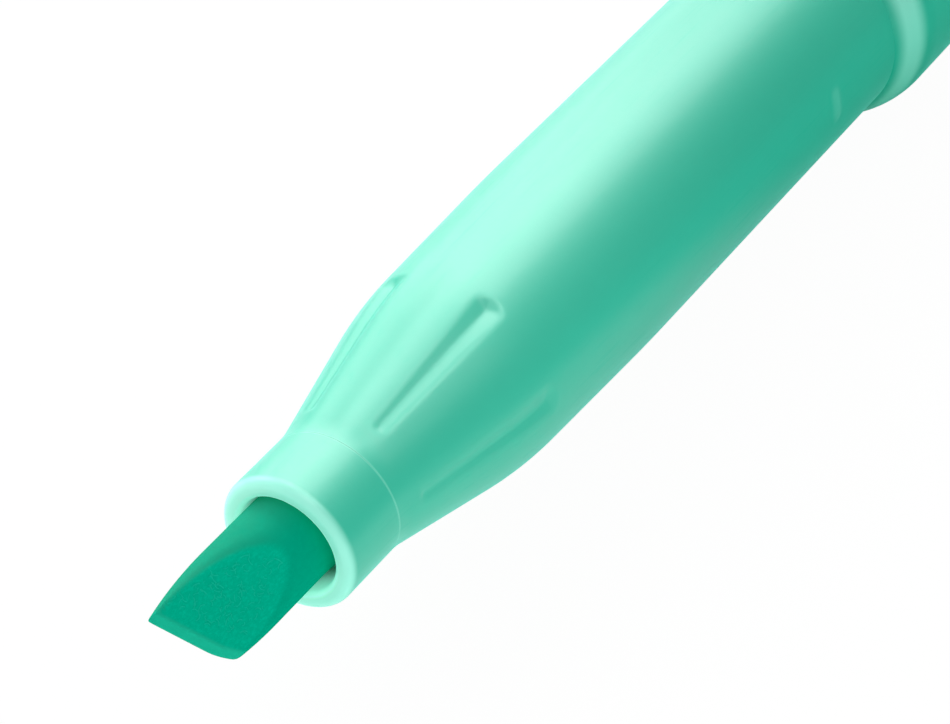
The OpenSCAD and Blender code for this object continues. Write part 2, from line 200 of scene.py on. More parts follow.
@dataclass(frozen=True)
class Outline:
    """A closed turned outline: radii and places in millimetres, and the points that are sharp rings."""

    COLUMNS = 180
    POLE = 1e-6
    ARC_DEG = 7.5
    ARC_STEP = 0.12
    HOLD = 0.07
    radius: Array
    place: Array
    sharp: Array

    @classmethod
    def rounded(cls, *corners: Corner) -> "Outline":
        """Rounds the corners of an outline and holds its straight runs flat with a ring at each end.

        Args:
            corners: Radius and place of each corner, with its rounding where it isn't sharp.

        Returns:
            The outline, in the order that makes its mesh face outwards.
        """
        runs: list[tuple[Array, bool]] = []
        for i, (radius, place, *rounding) in enumerate(corners):
            tip = np.array([radius, place])
            if not rounding:
                runs.append((tip[None], True))
                continue
            fillet = rounding[0]
            u = np.array(corners[i - 1][:2]) - tip
            v = np.array(corners[(i + 1) % len(corners)][:2]) - tip
            u, v = u / np.linalg.norm(u), v / np.linalg.norm(v)
            half = math.acos(float(np.clip(u @ v, -1.0, 1.0))) / 2.0
            centre = tip + (u + v) / np.linalg.norm(u + v) * fillet / math.sin(half)
            arm = tip + u * fillet / math.tan(half) - centre
            turn = math.copysign(math.pi - 2.0 * half, u[1] * v[0] - u[0] * v[1])
            by_angle = math.ceil(math.degrees(abs(turn)) / cls.ARC_DEG)
            steps = max(3, by_angle, math.ceil(abs(turn) * fillet / cls.ARC_STEP))
            angle = np.linspace(0.0, turn, steps + 1)
            cos, sin = np.cos(angle), np.sin(angle)
            arc = np.stack([arm[0] * cos - arm[1] * sin, arm[0] * sin + arm[1] * cos], axis=-1)
            runs.append((centre + arc, False))
        points: list[Array] = []
        flags: list[bool] = []
        for (run, is_sharp), (following, following_sharp) in zip(runs, runs[1:] + runs[:1]):
            gap = following[0] - run[-1]
            length = float(np.linalg.norm(gap))
            kept: list[Array] = []
            if length > 4.0 * cls.HOLD:
                step = gap / length * cls.HOLD
                kept = [run[-1] + step] * (not is_sharp) + [following[0] - step] * (not following_sharp)
            points += [*run, *kept]
            flags += [is_sharp] * len(run) + [False] * len(kept)
        path, sharp = np.array(points), np.array(flags)
        after = np.roll(path, -1, axis=0)
        if np.sum(path[:, 0] * after[:, 1] - after[:, 0] * path[:, 1]) < 0.0:
            path, sharp = path[::-1], sharp[::-1]
        return cls(path[:, 0], path[:, 1], sharp)

    def refined(self, low: float, high: float, step: float, beyond: float) -> "Outline":
        """Adds rings on the outer wall between two places.

        Args:
            low: First place.
            high: Last place.
            step: Largest distance between neighbours.
            beyond: Radius outside which a ring belongs to the outer wall.

        Returns:
            The finer outline.
        """
        rings = list(zip(self.radius, self.place, self.sharp))
        rows: list[tuple[float, float, bool]] = []
        for ring, (after, end, _) in zip(rings, rings[1:] + rings[:1]):
            rows.append(ring)
            radius, start, _ = ring
            if min(radius, after) < beyond or end <= max(start, low) or start >= high:
                continue
            first, last = math.floor(max(start, low) / step), math.ceil(min(end, high) / step)
            cuts = np.arange(first, last + 1) * step
            cuts = cuts[(cuts > start + step / 3) & (cuts < end - step / 3)]
            rows += [(np.interp(cut, [start, end], [radius, after]), cut, False) for cut in cuts]
        return Outline(*(np.array(column) for column in zip(*rows)))

    def spin(self, axis: PenAxis, extra: Sequence[float] = (), warp: Optional[Warp] = None) -> Mesh:
        """Spins the outline into a closed mesh.

        Args:
            axis: The pen's axis.
            extra: Rolls of columns besides the even ones, in degrees.
            warp: Gives the radii from radii, places and rolls, for what isn't round.

        Returns:
            The mesh, smooth but for its sharp rings.
        """
        even = np.arange(self.COLUMNS) * 360.0 / self.COLUMNS
        rolls = np.unique(np.round(np.concatenate([even, np.mod(extra, 360.0)]), 3))
        radius = np.repeat(self.radius[:, None], len(rolls), axis=1)
        if warp is not None:
            radius = warp(radius, self.place[:, None], rolls[None, :])
        points = axis.lay(rolls[None, :], radius, self.place[:, None])
        pole = self.radius < self.POLE
        index = np.zeros(radius.shape, int)
        rows: list[Array] = []
        count = 0
        for i, is_pole in enumerate(pole):
            index[i] = count if is_pole else count + np.arange(len(rolls))
            rows.append(points[i, :1] if is_pole else points[i])
            count += len(rows[-1])
        faces: list[tuple[int, ...]] = []
        for i in range(len(pole)):
            k = (i + 1) % len(pole)
            if pole[i] and pole[k]:
                continue
            a, b = index[i], np.roll(index[i], -1)
            c, d = np.roll(index[k], -1), index[k]
            ring = (a, c, d) if pole[i] else (a, b, d) if pole[k] else (a, b, c, d)
            faces.extend(zip(*(corner.tolist() for corner in ring)))
        mesh = bpy.data.meshes.new("turned")
        mesh.from_pydata(np.concatenate(rows), [], faces)
        mesh.shade_smooth()
        row = np.repeat(np.arange(len(rows)), [len(points) for points in rows])
        ends = np.zeros(len(mesh.edges) * 2, np.int32)
        mesh.edges.foreach_get("vertices", ends)
        first, last = row[ends.reshape(-1, 2)].T
        flags = (first == last) & self.sharp[first]
        mesh.attributes.new("sharp_edge", "BOOLEAN", "EDGE").data.foreach_set("value", flags)
        return mesh


@dataclass(frozen=True)
class Bead:
    """A retaining ring on a pressed surface, and the groove that takes it."""

    height: float = 0.12
    length: float = 0.8
    gap: float = 0.02

    def on(self, radius: float, place: float) -> list[Corner]:
        """Corners of the ring, toward the tail."""
        steps = ((0.0, 0.0), (0.25, 1.0), (0.75, 1.0), (1.0, 0.0))
        return [(radius + rise * self.height, place + share * self.length) for share, rise in steps]

    def groove(self, radius: float, place: float) -> list[Corner]:
        """Corners of the groove, toward the nose."""
        room = Bead(self.height + self.gap, self.length + 2 * self.gap)
        return room.on(radius, place - self.gap)[::-1]


def edge_rise(edge: float) -> Array:
    """Rise of a rounded edge at even steps round it, from its foot."""
    return edge * (1.0 - np.cos(np.linspace(0.0, math.pi / 2.0, EDGE_POINTS)))


def inset(edge: float, inside: float) -> float:
    """How far a rounded edge draws a ring in, at a distance inside the end."""
    short = min(max(edge - inside, 0.0), edge)
    return edge - math.sqrt(edge ** 2 - short ** 2)


@dataclass(frozen=True)
class Cut:
    """Cross-section of a bar with a flat underside, rounded edges and a top that is crowned or flat."""

    FLAT_POINTS = 7
    half: float
    low: float
    top: float
    edge: float
    crowned: bool = True

    def height(self, across: Array) -> Array:
        """Height of the top, which is round about the pen's axis if it is crowned."""
        return np.sqrt(self.top ** 2 - across ** 2) if self.crowned else np.full_like(across, self.top)

    def lay(self, axis: PenAxis, roll: float, place: float) -> Array:
        """Lays the cut square to the pen.

        Args:
            axis: The pen's axis.
            roll: Roll of the direction in which heights are measured, in degrees.
            place: Place along the pen.

        Returns:
            Points of its ring, in metres.
        """
        turn = np.linspace(0.0, math.pi / 2.0, EDGE_POINTS)
        reach = self.half - self.edge + self.edge * np.sin(turn)
        rise = edge_rise(self.edge)
        flat = np.linspace(-1.0, 1.0, self.FLAT_POINTS)[1:-1] * (self.half - self.edge)
        back, fall = flat[::-1], reach[::-1]
        across = np.concatenate([flat, reach, fall, back, -reach, -fall])
        sides = self.low + rise, self.height(reach) - rise
        out = np.concatenate([np.full_like(flat, self.low), sides[0], sides[1][::-1],
                              self.height(back), sides[1], sides[0][::-1]])
        return axis.lay(roll, out, place, across)


def skin(rings: Sequence[Array], sharp_deg: float = 40.0, merged: float = 1e-8) -> Mesh:
    """Joins closed rings of equal counts into a mesh and closes both ends.

    Args:
        rings: Points of each ring, in metres.
        sharp_deg: Turn between faces past which an edge is sharp, in degrees.
        merged: Distance below which points are one, in metres.

    Returns:
        The closed mesh, facing outwards.
    """
    count, end = len(rings[0]), len(rings[0]) * (len(rings) - 1)
    faces: list[tuple[int, ...]] = [tuple(range(count)), tuple(range(end, end + count))]
    for i in range(0, end, count):
        for j in range(count):
            k = (j + 1) % count
            faces.append((i + j, i + k, i + count + k, i + count + j))
    mesh = bpy.data.meshes.new("skinned")
    mesh.from_pydata(np.concatenate(rings), [], faces)
    shape = bmesh.new()
    shape.from_mesh(mesh)
    bmesh.ops.remove_doubles(shape, verts=shape.verts, dist=merged)
    bmesh.ops.recalc_face_normals(shape, faces=shape.faces)
    shape.to_mesh(mesh)
    shape.free()
    mesh.shade_smooth()
    mesh.set_sharp_from_angle(angle=math.radians(sharp_deg))
    return mesh


def join(*meshes: Mesh) -> Mesh:
    """Makes one mesh of several closed ones.

    Args:
        meshes: The meshes, which are removed.

    Returns:
        The joined mesh.
    """
    shape = bmesh.new()
    for mesh in meshes:
        shape.from_mesh(mesh)
        bpy.data.meshes.remove(mesh)
    joined = bpy.data.meshes.new("joined")
    shape.to_mesh(joined)
    shape.free()
    return joined


# Node trees and finishes


class Nodes:
    """A node tree with one way to add a node."""

    def __init__(self, tree: bpy.types.NodeTree) -> None:
        """Keeps the tree."""
        self.tree = tree

    def node(self, kind: str, sockets: Optional[Mapping[Union[str, int], Any]] = None,
             **settings: Any) -> bpy.types.Node:
        """Adds a node.

        Args:
            kind: Type of the node.
            sockets: Values, sockets to link or expressions, by the names or numbers of the inputs.
            settings: Properties of the node, set first.

        Returns:
            The new node.
        """
        made = self.tree.nodes.new(kind)
        for name, setting in settings.items():
            setattr(made, name, setting)
        for name, value in (sockets or {}).items():
            value = value.socket if isinstance(value, Value) else value
            if isinstance(value, Socket):
                self.tree.links.new(value, made.inputs[name])
            else:
                made.inputs[name].default_value = value
        return made


class Value:
    """A number socket: an expression on it adds Math nodes."""

    def __init__(self, nodes: Nodes, socket: Socket) -> None:
        """Keeps the socket and the tree that it is in."""
        self.nodes = nodes
        self.socket = socket

    def _math(self, operation: str, a: Any, b: Any) -> "Value":
        """Adds a Math node on two numbers."""
        made = self.nodes.node("ShaderNodeMath", {0: a, 1: b}, operation=operation)
        return Value(self.nodes, made.outputs[0])

    def __add__(self, other: Any) -> "Value":
        """This plus another."""
        return self._math("ADD", self, other)

    def __radd__(self, other: Any) -> "Value":
        """Another plus this."""
        return self._math("ADD", other, self)

    def __sub__(self, other: Any) -> "Value":
        """This less another."""
        return self._math("SUBTRACT", self, other)

    def __rsub__(self, other: Any) -> "Value":
        """Another less this."""
        return self._math("SUBTRACT", other, self)

    def __mul__(self, other: Any) -> "Value":
        """This times another."""
        return self._math("MULTIPLY", self, other)

    def __rmul__(self, other: Any) -> "Value":
        """Another times this."""
        return self._math("MULTIPLY", other, self)

    def swing(self, amount: float) -> "Value":
        """This noise about its middle, times an amount."""
        return (self - 0.5) * amount

    def ramp(self, low: float, high: float) -> "Value":
        """Soft step, either way round.

        Args:
            low: Value at which it is 0.
            high: Value at which it is 1.

        Returns:
            The step.
        """
        sockets = {"Value": self, "From Min": min(low, high), "From Max": max(low, high),
                   "To Min": float(low > high), "To Max": float(low < high)}
        made = self.nodes.node("ShaderNodeMapRange", sockets, interpolation_type="SMOOTHSTEP")
        return Value(self.nodes, made.outputs["Result"])


class Graph(Nodes):
    """A material's node tree, on the piece's Object coordinates."""

    FINER = 0.55

    def __init__(self, name: str, axis: PenAxis) -> None:
        """Makes an empty material with its coordinates.

        Args:
            name: Name of the material.
            axis: The pen's axis.
        """
        self.material = bpy.data.materials.new(name)
        self.material.use_nodes = True
        super().__init__(self.material.node_tree)
        self.tree.nodes.clear()
        self.axis = axis
        self.where = self.node("ShaderNodeTexCoord").outputs["Object"]
        parted = self.node("ShaderNodeSeparateXYZ", {"Vector": self.where}).outputs
        self.along, self.across = Value(self, parted["X"]), Value(self, parted["Y"])

    def past(self, low: float, high: float) -> Value:
        """Soft step along the pen, from 0 at one place to 1 at another."""
        return self.along.ramp(self.axis.x(low), self.axis.x(high))

    def band(self, foot: float, first: float, last: float, top: float) -> Value:
        """Soft band along the pen, full between its two inner places."""
        return self.past(foot, first) * self.past(top, last)

    def sideways(self, low: float, high: float) -> Value:
        """Soft step across the pen, from 0 at one Y to 1 at another, in millimetres."""
        return self.across.ramp(low * MM, high * MM)

    def marked(self, name: str) -> Value:
        """Value of an attribute of the mesh."""
        return Value(self, self.node("ShaderNodeAttribute", attribute_name=name).outputs["Fac"])

    def grain(self, size: float, stretch: float = 1.0, detail: float = 2.0, seed: float = 0.0) -> Value:
        """Noise over the surface.

        Args:
            size: Size of its lumps, in millimetres.
            stretch: How many times longer they are along the pen.
            detail: Octaves of finer noise.
            seed: Shift that makes one noise differ from another.

        Returns:
            The noise, from 0 to 1.
        """
        placed = self.node("ShaderNodeMapping", {
            "Vector": self.where, "Location": (seed, seed, seed), "Scale": (1.0 / stretch, 1.0, 1.0)})
        made = self.node("ShaderNodeTexNoise", {
            "Vector": placed.outputs[0], "Scale": 1.0 / (size * MM), "Detail": detail,
            "Roughness": self.FINER})
        return Value(self, made.outputs["Fac"])

    def mix(self, share: Any, a: Any, b: Any) -> Socket:
        """Colour at a share of the way from one colour to another."""
        a, b = ((*colour, 1.0) if isinstance(colour, tuple) else colour for colour in (a, b))
        return self.node("ShaderNodeMix", {0: share, 6: a, 7: b}, data_type="RGBA").outputs[2]

    def bump(self, height: Value, depth: float) -> Socket:
        """Normal over a height field that is depth millimetres deep."""
        return self.node("ShaderNodeBump", {"Height": height, "Distance": depth * MM}).outputs[0]

    def surface(self, sockets: Mapping[str, Any]) -> Material:
        """Ends the tree in a Principled BSDF.

        Args:
            sockets: Values, sockets or expressions of its inputs.

        Returns:
            The material.
        """
        shader = self.node("ShaderNodeBsdfPrincipled", sockets)
        self.node("ShaderNodeOutputMaterial", {"Surface": shader.outputs[0]})
        return self.material


@dataclass(frozen=True)
class Finish:
    """What every finish has: the pen's axis that it is laid along."""

    axis: PenAxis


@dataclass(frozen=True)
class PlasticFinish(Finish):
    """Glossy mint moulding with painted light: a glowing pale lip and recess wall, pale highlights on the
    seam, the shoulder and the nubs, and a deeper green toward the shoulder that is partly the ink core
    behind the wall and partly painted shade.
    """

    colour: Triple = (0.020, 0.522, 0.353)
    pale: Triple = (0.390, 0.985, 0.810)
    deep: Triple = (0.006, 0.450, 0.300)
    roughness: float = 0.36
    coat: float = 0.1
    coat_roughness: float = 0.3
    ior: float = 1.5
    sheen: float = 0.95
    sheen_roughness: float = 0.25
    sheen_tint: Triple = (0.28, 1.0, 0.86)
    lip: Pair = (0.55, 0.1)
    lip_side: float = 2.5
    lip_share: Pair = (0.76, 1.0)
    lip_glow: float = 0.06
    recess: Pair = (1.9, 0.3)
    recess_glow: float = 0.42
    seam: Band = (3.47, 3.56, 3.56, 3.65)
    seam_pale: float = 0.3
    core: Pair = (10.0, 36.0)
    core_deep: float = 0.9
    shoulder: Band = (43.3, 44.05, 44.5, 45.4)
    shoulder_pale: float = 0.60
    peel_depth: float = 0.006

    def material(self) -> Material:
        """Builds the finish.

        Returns:
            The material.
        """
        graph = Graph("mint_plastic", self.axis)
        flow = graph.grain(size=4.5, stretch=5.0, detail=3.0)
        cloud = graph.grain(size=1.1, stretch=1.6, seed=3.1)
        hairs = graph.grain(size=0.16, stretch=26.0, detail=1.0, seed=7.7).ramp(0.60, 0.72)
        peel = graph.grain(size=0.55, seed=1.3)
        # Deeper green from 10 to 36 mm: partly the ink core seen behind the wall, partly painted shade
        # toward the shoulder.
        core_and_shade = graph.past(*self.core) * self.core_deep
        colour = graph.mix(core_and_shade + flow.swing(0.35) + cloud.swing(0.16), self.colour, self.deep)
        # Painted light: the lip is painted pale, more so on the side toward the lamps, and so are the
        # recess wall and the nubs where the mesh marks them.
        lip, marked = graph.past(*self.lip), graph.marked("thin")
        thin = lip * between(self.lip_share, graph.sideways(-self.lip_side, self.lip_side)) + marked
        # Painted highlights: a pale line along the seam and a pale band round the shoulder.
        seam = graph.band(*self.seam) * self.seam_pale
        shoulder = graph.band(*self.shoulder) * self.shoulder_pale
        # Painted glow: the lip and the recess wall give off light though they are no lamp.
        lit = marked * graph.past(*self.recess) * self.recess_glow + lip * self.lip_glow
        return graph.surface({
            "Base Color": graph.mix(thin + seam + shoulder, colour, self.pale),
            "Roughness": self.roughness + flow.swing(0.08) + hairs * 0.05,
            "Coat Weight": self.coat + cloud.swing(0.06) - hairs * 0.05,
            "Coat Roughness": self.coat_roughness,
            "IOR": self.ior,
            "Sheen Weight": self.sheen,
            "Sheen Roughness": self.sheen_roughness,
            "Sheen Tint": (*self.sheen_tint, 1.0),
            "Emission Color": graph.mix(lit, BLACK, self.pale),
            "Emission Strength": 1.0,
            "Normal": graph.bump(peel * 0.7 + flow * 0.3 - hairs * 0.1, self.peel_depth)})


@dataclass(frozen=True)
class FeltFinish(Finish):
    """Pressed felt soaked in green ink: matted on the cut faces, darker on the rod's sides, with painted
    light on its lit side and its end face and painted shade where it goes into the collar.
    """

    colour: Triple = (0.0, 0.405, 0.250)
    light: Triple = (0.001, 0.480, 0.302)
    side: Triple = (0.0, 0.335, 0.203)
    dry_side: Triple = (0.019, 0.300, 0.184)
    dry_reach: float = 1.3
    tip: Triple = (0.010, 0.415, 0.264)
    wet: Triple = (0.0, 0.290, 0.175)
    soaked: Pair = (-0.2, 1.6)
    roughness: float = 0.62
    depth: float = 0.012

    def material(self) -> Material:
        """Builds the finish.

        Returns:
            The material.
        """
        graph = Graph("inked_felt", self.axis)
        cut = graph.marked("cut")
        mat = graph.grain(size=0.11, stretch=1.7, detail=3.0)
        lumps = graph.grain(size=0.6, seed=2.3)
        threads = graph.grain(size=0.05, stretch=5.0, seed=5.9)
        colour = graph.mix(mat.ramp(0.42, 0.72) * 0.7 + threads.swing(0.5), self.colour, self.light)
        # Painted light: the side of the rod toward +Y, where the lamps stand, is painted paler.
        side = graph.mix(graph.sideways(-self.dry_reach, self.dry_reach), self.side, self.dry_side)
        colour = graph.mix((1.0 - cut) * (0.85 + lumps.swing(0.3)), colour, side)
        # Painted light: the end face of the tip is painted lighter, where it faces the light from the
        # front.
        colour = graph.mix(graph.marked("tip") * 0.9, colour, self.tip)
        # Painted shade where the felt goes into the collar, plus random darker patches.
        wet = graph.past(*self.soaked) * 0.3 + lumps.ramp(0.5, 0.25) * 0.12
        matted = (mat * 0.7 + threads * 0.5) * (0.3 + cut * 0.7)
        return graph.surface({
            "Base Color": graph.mix(wet, colour, self.wet),
            "Roughness": self.roughness + cut * 0.3 + mat.swing(0.12),
            "Specular IOR Level": 0.0,
            "Normal": graph.bump(matted + lumps * 0.5, self.depth)})


@dataclass(frozen=True)
class FibreFinish(Finish):
    """A loose felt fibre, a little paler than the matted felt under it."""

    colour: Triple = (0.007, 0.525, 0.345)
    dark: Triple = (0.0, 0.445, 0.280)

    def material(self) -> Material:
        """Builds the finish.

        Returns:
            The material.
        """
        graph = Graph("felt_fibre", self.axis)
        grain = graph.grain(size=0.3, seed=4.0)
        return graph.surface({
            "Base Color": graph.mix(grain, self.dark, self.colour),
            "Roughness": 0.85 + grain.swing(0.2),
            "Specular IOR Level": 0.02})


@dataclass(frozen=True)
class CoreFinish(Finish):
    """Bonded fibre of the ink reservoir, with strands along the pen."""

    colour: Triple = (0.020, 0.380, 0.240)
    light: Triple = (0.100, 0.520, 0.360)

    def material(self) -> Material:
        """Builds the finish.

        Returns:
            The material.
        """
        graph = Graph("inked_core", self.axis)
        strands = graph.grain(size=0.12, stretch=40.0, detail=3.0)
        patches = graph.grain(size=3.0, stretch=3.0, seed=6.0)
        lit = strands.ramp(0.4, 0.7) * 0.7 + patches.swing(0.5)
        return graph.surface({
            "Base Color": graph.mix(lit, self.colour, self.light),
            "Roughness": 0.85 + strands.swing(0.15),
            "Specular IOR Level": 0.2,
            "Normal": graph.bump(strands, 0.05)})


@dataclass(frozen=True)
class FilmFinish(Finish):
    """Thin clear film wrapped round the reservoir, with faint wrinkles along it."""

    colour: Triple = (0.850, 0.880, 0.880)
    tinted: Triple = (0.600, 0.820, 0.740)

    def material(self) -> Material:
        """Builds the finish.

        Returns:
            The material.
        """
        graph = Graph("clear_film", self.axis)
        wrinkles = graph.grain(size=0.8, stretch=9.0)
        return graph.surface({
            "Base Color": graph.mix(wrinkles, self.colour, self.tinted),
            "Roughness": 0.16 + wrinkles * 0.12,
            "Alpha": 0.3 + wrinkles * 0.2,
            "Normal": graph.bump(wrinkles, 0.03)})


@dataclass(frozen=True)
class RubberFinish(Finish):
    """Matt friction rubber, a little rubbed and greyed at its end."""

    colour: Triple = (0.640, 0.800, 0.730)
    rubbed: Triple = (0.520, 0.640, 0.590)
    end: Pair = (124.4, 127.0)

    def material(self) -> Material:
        """Builds the finish.

        Returns:
            The material.
        """
        graph = Graph("friction_rubber", self.axis)
        grain = graph.grain(size=0.22, detail=3.0)
        smears = graph.grain(size=1.4, detail=3.0, seed=8.2)
        worn = graph.past(*self.end) * smears.ramp(0.4, 0.65) * 0.8
        return graph.surface({
            "Base Color": graph.mix(worn + grain.swing(0.2), self.colour, self.rubbed),
            "Roughness": 0.74 + grain.swing(0.16),
            "Specular IOR Level": 0.35,
            "Normal": graph.bump(grain * 0.6 + smears * 0.4, 0.025)})


@dataclass(frozen=True)
class SealFinish(Finish):
    """Natural unpigmented moulding of the seal cup, faintly cloudy."""

    colour: Triple = (0.760, 0.830, 0.800)
    cloudy: Triple = (0.660, 0.760, 0.720)

    def material(self) -> Material:
        """Builds the finish.

        Returns:
            The material.
        """
        graph = Graph("natural_seal", self.axis)
        cloud = graph.grain(size=1.8, stretch=2.0, detail=3.0, seed=9.4)
        return graph.surface({
            "Base Color": graph.mix(cloud, self.colour, self.cloudy),
            "Roughness": 0.42 + cloud.swing(0.12),
            "Normal": graph.bump(cloud, 0.01)})


@dataclass(frozen=True)
class TableFinish(Finish):
    """White table top that glows round the nose and carries a painted green shade beside the barrel for all
    rays but the camera's, which see it nearly plain white.
    """

    colour: Triple = (0.880, 0.890, 0.890)
    shaded: Triple = (0.120, 0.600, 0.480)
    shade: Pair = (27.0, 44.0)
    glow_left: float = 0.12
    glow_right: float = 0.27
    glow: Pair = (6.0, 28.0)
    edge: float = 6.0
    speck: float = 0.05
    roughness: float = 0.8
    white_share: float = 0.97

    def material(self) -> Material:
        """Builds the finish.

        Returns:
            The material.
        """
        graph = Graph("white_table", self.axis)
        right = graph.sideways(self.edge, -self.edge)
        speck = graph.grain(size=3.0) * self.speck
        # Painted shade beside the seat and barrel, tinted green as bounce light off the pen.
        shade = graph.past(*self.shade) * right + speck
        # Painted glow from the table round the nose, stronger on the right.
        near = graph.mix(graph.past(*self.glow), (self.glow_right,) * 3, BLACK)
        lit = graph.node("ShaderNodeBsdfPrincipled", {
            "Base Color": graph.mix(shade, self.colour, self.shaded), "Roughness": self.roughness,
            "Emission Color": graph.mix(right, (self.glow_left,) * 3, near), "Emission Strength": 1.0})
        matt = graph.node("ShaderNodeBsdfPrincipled", {
            "Base Color": graph.mix(speck, self.colour, self.shaded), "Roughness": self.roughness})
        white = graph.node("ShaderNodeEmission", {"Color": WHITE, "Strength": 1.0})
        seen = graph.node("ShaderNodeMixShader", {
            0: self.white_share, 1: matt.outputs[0], 2: white.outputs[0]})
        ray = graph.node("ShaderNodeLightPath").outputs["Is Camera Ray"]
        both = graph.node("ShaderNodeMixShader", {0: ray, 1: lit.outputs[0], 2: seen.outputs[0]})
        graph.node("ShaderNodeOutputMaterial", {"Surface": both.outputs[0]})
        return graph.material


@dataclass(frozen=True)
class Bench:
    """What each sub-assembly is made with: the pen's axis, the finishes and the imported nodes."""

    axis: PenAxis
    finishes: Mapping[Slot, Material]
    nodes: Mapping[str, bpy.types.Object]

    def mount(self, name: str, mesh: Mesh, slot: Slot, body: Body, *replaced: str) -> None:
        """Puts a finished mesh on a body.

        Args:
            name: Name of the piece.
            mesh: Its mesh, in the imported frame.
            slot: Material slot that it takes its finish from.
            body: Body that it moves with.
            replaced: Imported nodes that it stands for.
        """
        mesh.name = name
        if not mesh.materials:
            mesh.materials.append(self.finishes[slot])
        piece = bpy.data.objects.new(name, mesh)
        bpy.context.scene.collection.objects.link(piece)
        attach(piece, body.value)
        if replaced:
            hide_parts(*replaced)
        LOG.info("%s: %d faces on %s, for %s", name, len(mesh.polygons), body.value,
                 ", ".join(replaced) or "no node")

    def dress(self, node: str, slot: Slot) -> None:
        """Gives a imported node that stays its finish.

        Args:
            node: Name of the node.
            slot: Material slot that it takes its finish from.
        """
        materials = self.nodes[node].data.materials
        materials.clear()
        materials.append(self.finishes[slot])
        LOG.info("%s: kept, with finish %s", node, self.finishes[slot].name)


# Sub-assemblies


@dataclass(frozen=True)
class Assembly:
    """What every sub-assembly has: the bench that it is made on."""

    bench: Bench

    @property
    def axis(self) -> PenAxis:
        """The pen's axis."""
        return self.bench.axis


@dataclass(frozen=True)
class FibreLay:
    """Geometry Nodes that lay short curled fibres flat on the open end of the nib."""

    per_square_mm: float = 15.0
    curl: float = 0.19
    thickness: float = 0.1
    sunk: float = 0.8
    sizes: Pair = (0.55, 1.25)
    bends: tuple[Pair, ...] = ((0.8, 1.9), (1.5, 1.0), (2.1, 0.6))
    seed: int = 11

    def tree(self) -> tuple[bpy.types.NodeTree, dict[str, str]]:
        """Builds the tree.

        Returns:
            The tree, and the identifiers of its named inputs.
        """
        group = bpy.data.node_groups.new("felt_fibres", "GeometryNodeTree")
        kinds = {"Geometry": "Geometry", "Density": "Float", "Curl": "Float", "Thickness": "Float",
                 "Seed": "Int", "Material": "Material"}
        named: dict[str, str] = {}
        for name, kind in kinds.items():
            made = group.interface.new_socket(name, in_out="INPUT", socket_type="NodeSocket" + kind)
            named[name] = made.identifier
        group.interface.new_socket("Geometry", in_out="OUTPUT", socket_type="NodeSocketGeometry")
        nodes = Nodes(group)
        given = nodes.node("NodeGroupInput").outputs
        curl, thickness = Value(nodes, given["Curl"]), Value(nodes, given["Thickness"])
        bare = nodes.node("GeometryNodeInputNamedAttribute", {"Name": "exposed"}, data_type="FLOAT")
        spread = nodes.node("GeometryNodeDistributePointsOnFaces", {
            "Mesh": given["Geometry"], "Density": Value(nodes, bare.outputs[0]) * given["Density"],
            "Seed": given["Seed"]}, distribute_method="RANDOM").outputs
        profile = nodes.node("GeometryNodeCurvePrimitiveCircle", {
            "Resolution": 4, "Radius": thickness}, mode="RADIUS")
        shapes = nodes.node("GeometryNodeGeometryToInstance")
        for sweep, bend in self.bends:
            radius = curl * bend
            arc = nodes.node("GeometryNodeCurveArc", {
                "Resolution": 8, "Radius": radius, "Start Angle": -sweep / 2.0, "Sweep Angle": sweep},
                mode="RADIUS")
            tube = nodes.node("GeometryNodeCurveToMesh", {
                "Curve": arc.outputs["Curve"], "Profile Curve": profile.outputs["Curve"],
                "Fill Caps": True})
            back = nodes.node("ShaderNodeCombineXYZ", {"X": radius * -1.0, "Z": thickness * -self.sunk})
            centred = nodes.node("GeometryNodeTransform", {
                "Geometry": tube.outputs[0], "Translation": back.outputs[0]})
            group.links.new(centred.outputs[0], shapes.inputs[0])
        random = "FunctionNodeRandomValue"
        turn = nodes.node(random, {2: 0.0, 3: math.tau, "Seed": 1}, data_type="FLOAT").outputs[1]
        size = nodes.node(random, {2: self.sizes[0], 3: self.sizes[1], "Seed": 2},
                          data_type="FLOAT").outputs[1]
        pick = nodes.node(random, {4: 0, 5: len(self.bends) - 1, "Seed": 3}, data_type="INT").outputs[2]
        spun = nodes.node("FunctionNodeAxisAngleToRotation", {"Axis": (0.0, 0.0, 1.0), "Angle": turn})
        facing = nodes.node("FunctionNodeRotateRotation", {
            0: spread["Rotation"], 1: spun.outputs[0]}, rotation_space="LOCAL")
        laid = nodes.node("GeometryNodeInstanceOnPoints", {
            "Points": spread["Points"], "Instance": shapes.outputs[0], "Pick Instance": True,
            "Instance Index": pick, "Rotation": facing.outputs[0], "Scale": size})
        real = nodes.node("GeometryNodeRealizeInstances", {"Geometry": laid.outputs[0]})
        dyed = nodes.node("GeometryNodeSetMaterial", {
            "Geometry": real.outputs[0], "Material": given["Material"]})
        nodes.node("NodeGroupOutput", {0: dyed.outputs[0]})
        return group, named

    def mesh(self, felt: Mesh, finish: Material) -> Mesh:
        """Lays the fibres on a felt mesh.

        Args:
            felt: Mesh with an "exposed" attribute, 1 where fibres show.
            finish: Material of the fibres.

        Returns:
            A plain mesh of the fibres alone.
        """
        carrier = bpy.data.objects.new("fibre_carrier", felt)
        bpy.context.scene.collection.objects.link(carrier)
        group, named = self.tree()
        laying = carrier.modifiers.new("fibres", "NODES")
        laying.node_group = group
        values = {"Density": self.per_square_mm / (MM * MM), "Curl": self.curl * MM,
                  "Thickness": self.thickness * MM, "Seed": self.seed, "Material": finish}
        for name, value in values.items():
            laying[named[name]] = value
        made = carrier.evaluated_get(bpy.context.evaluated_depsgraph_get())
        fibres = bpy.data.meshes.new_from_object(made)
        bpy.data.objects.remove(carrier)
        fibres.shade_smooth()
        return fibres


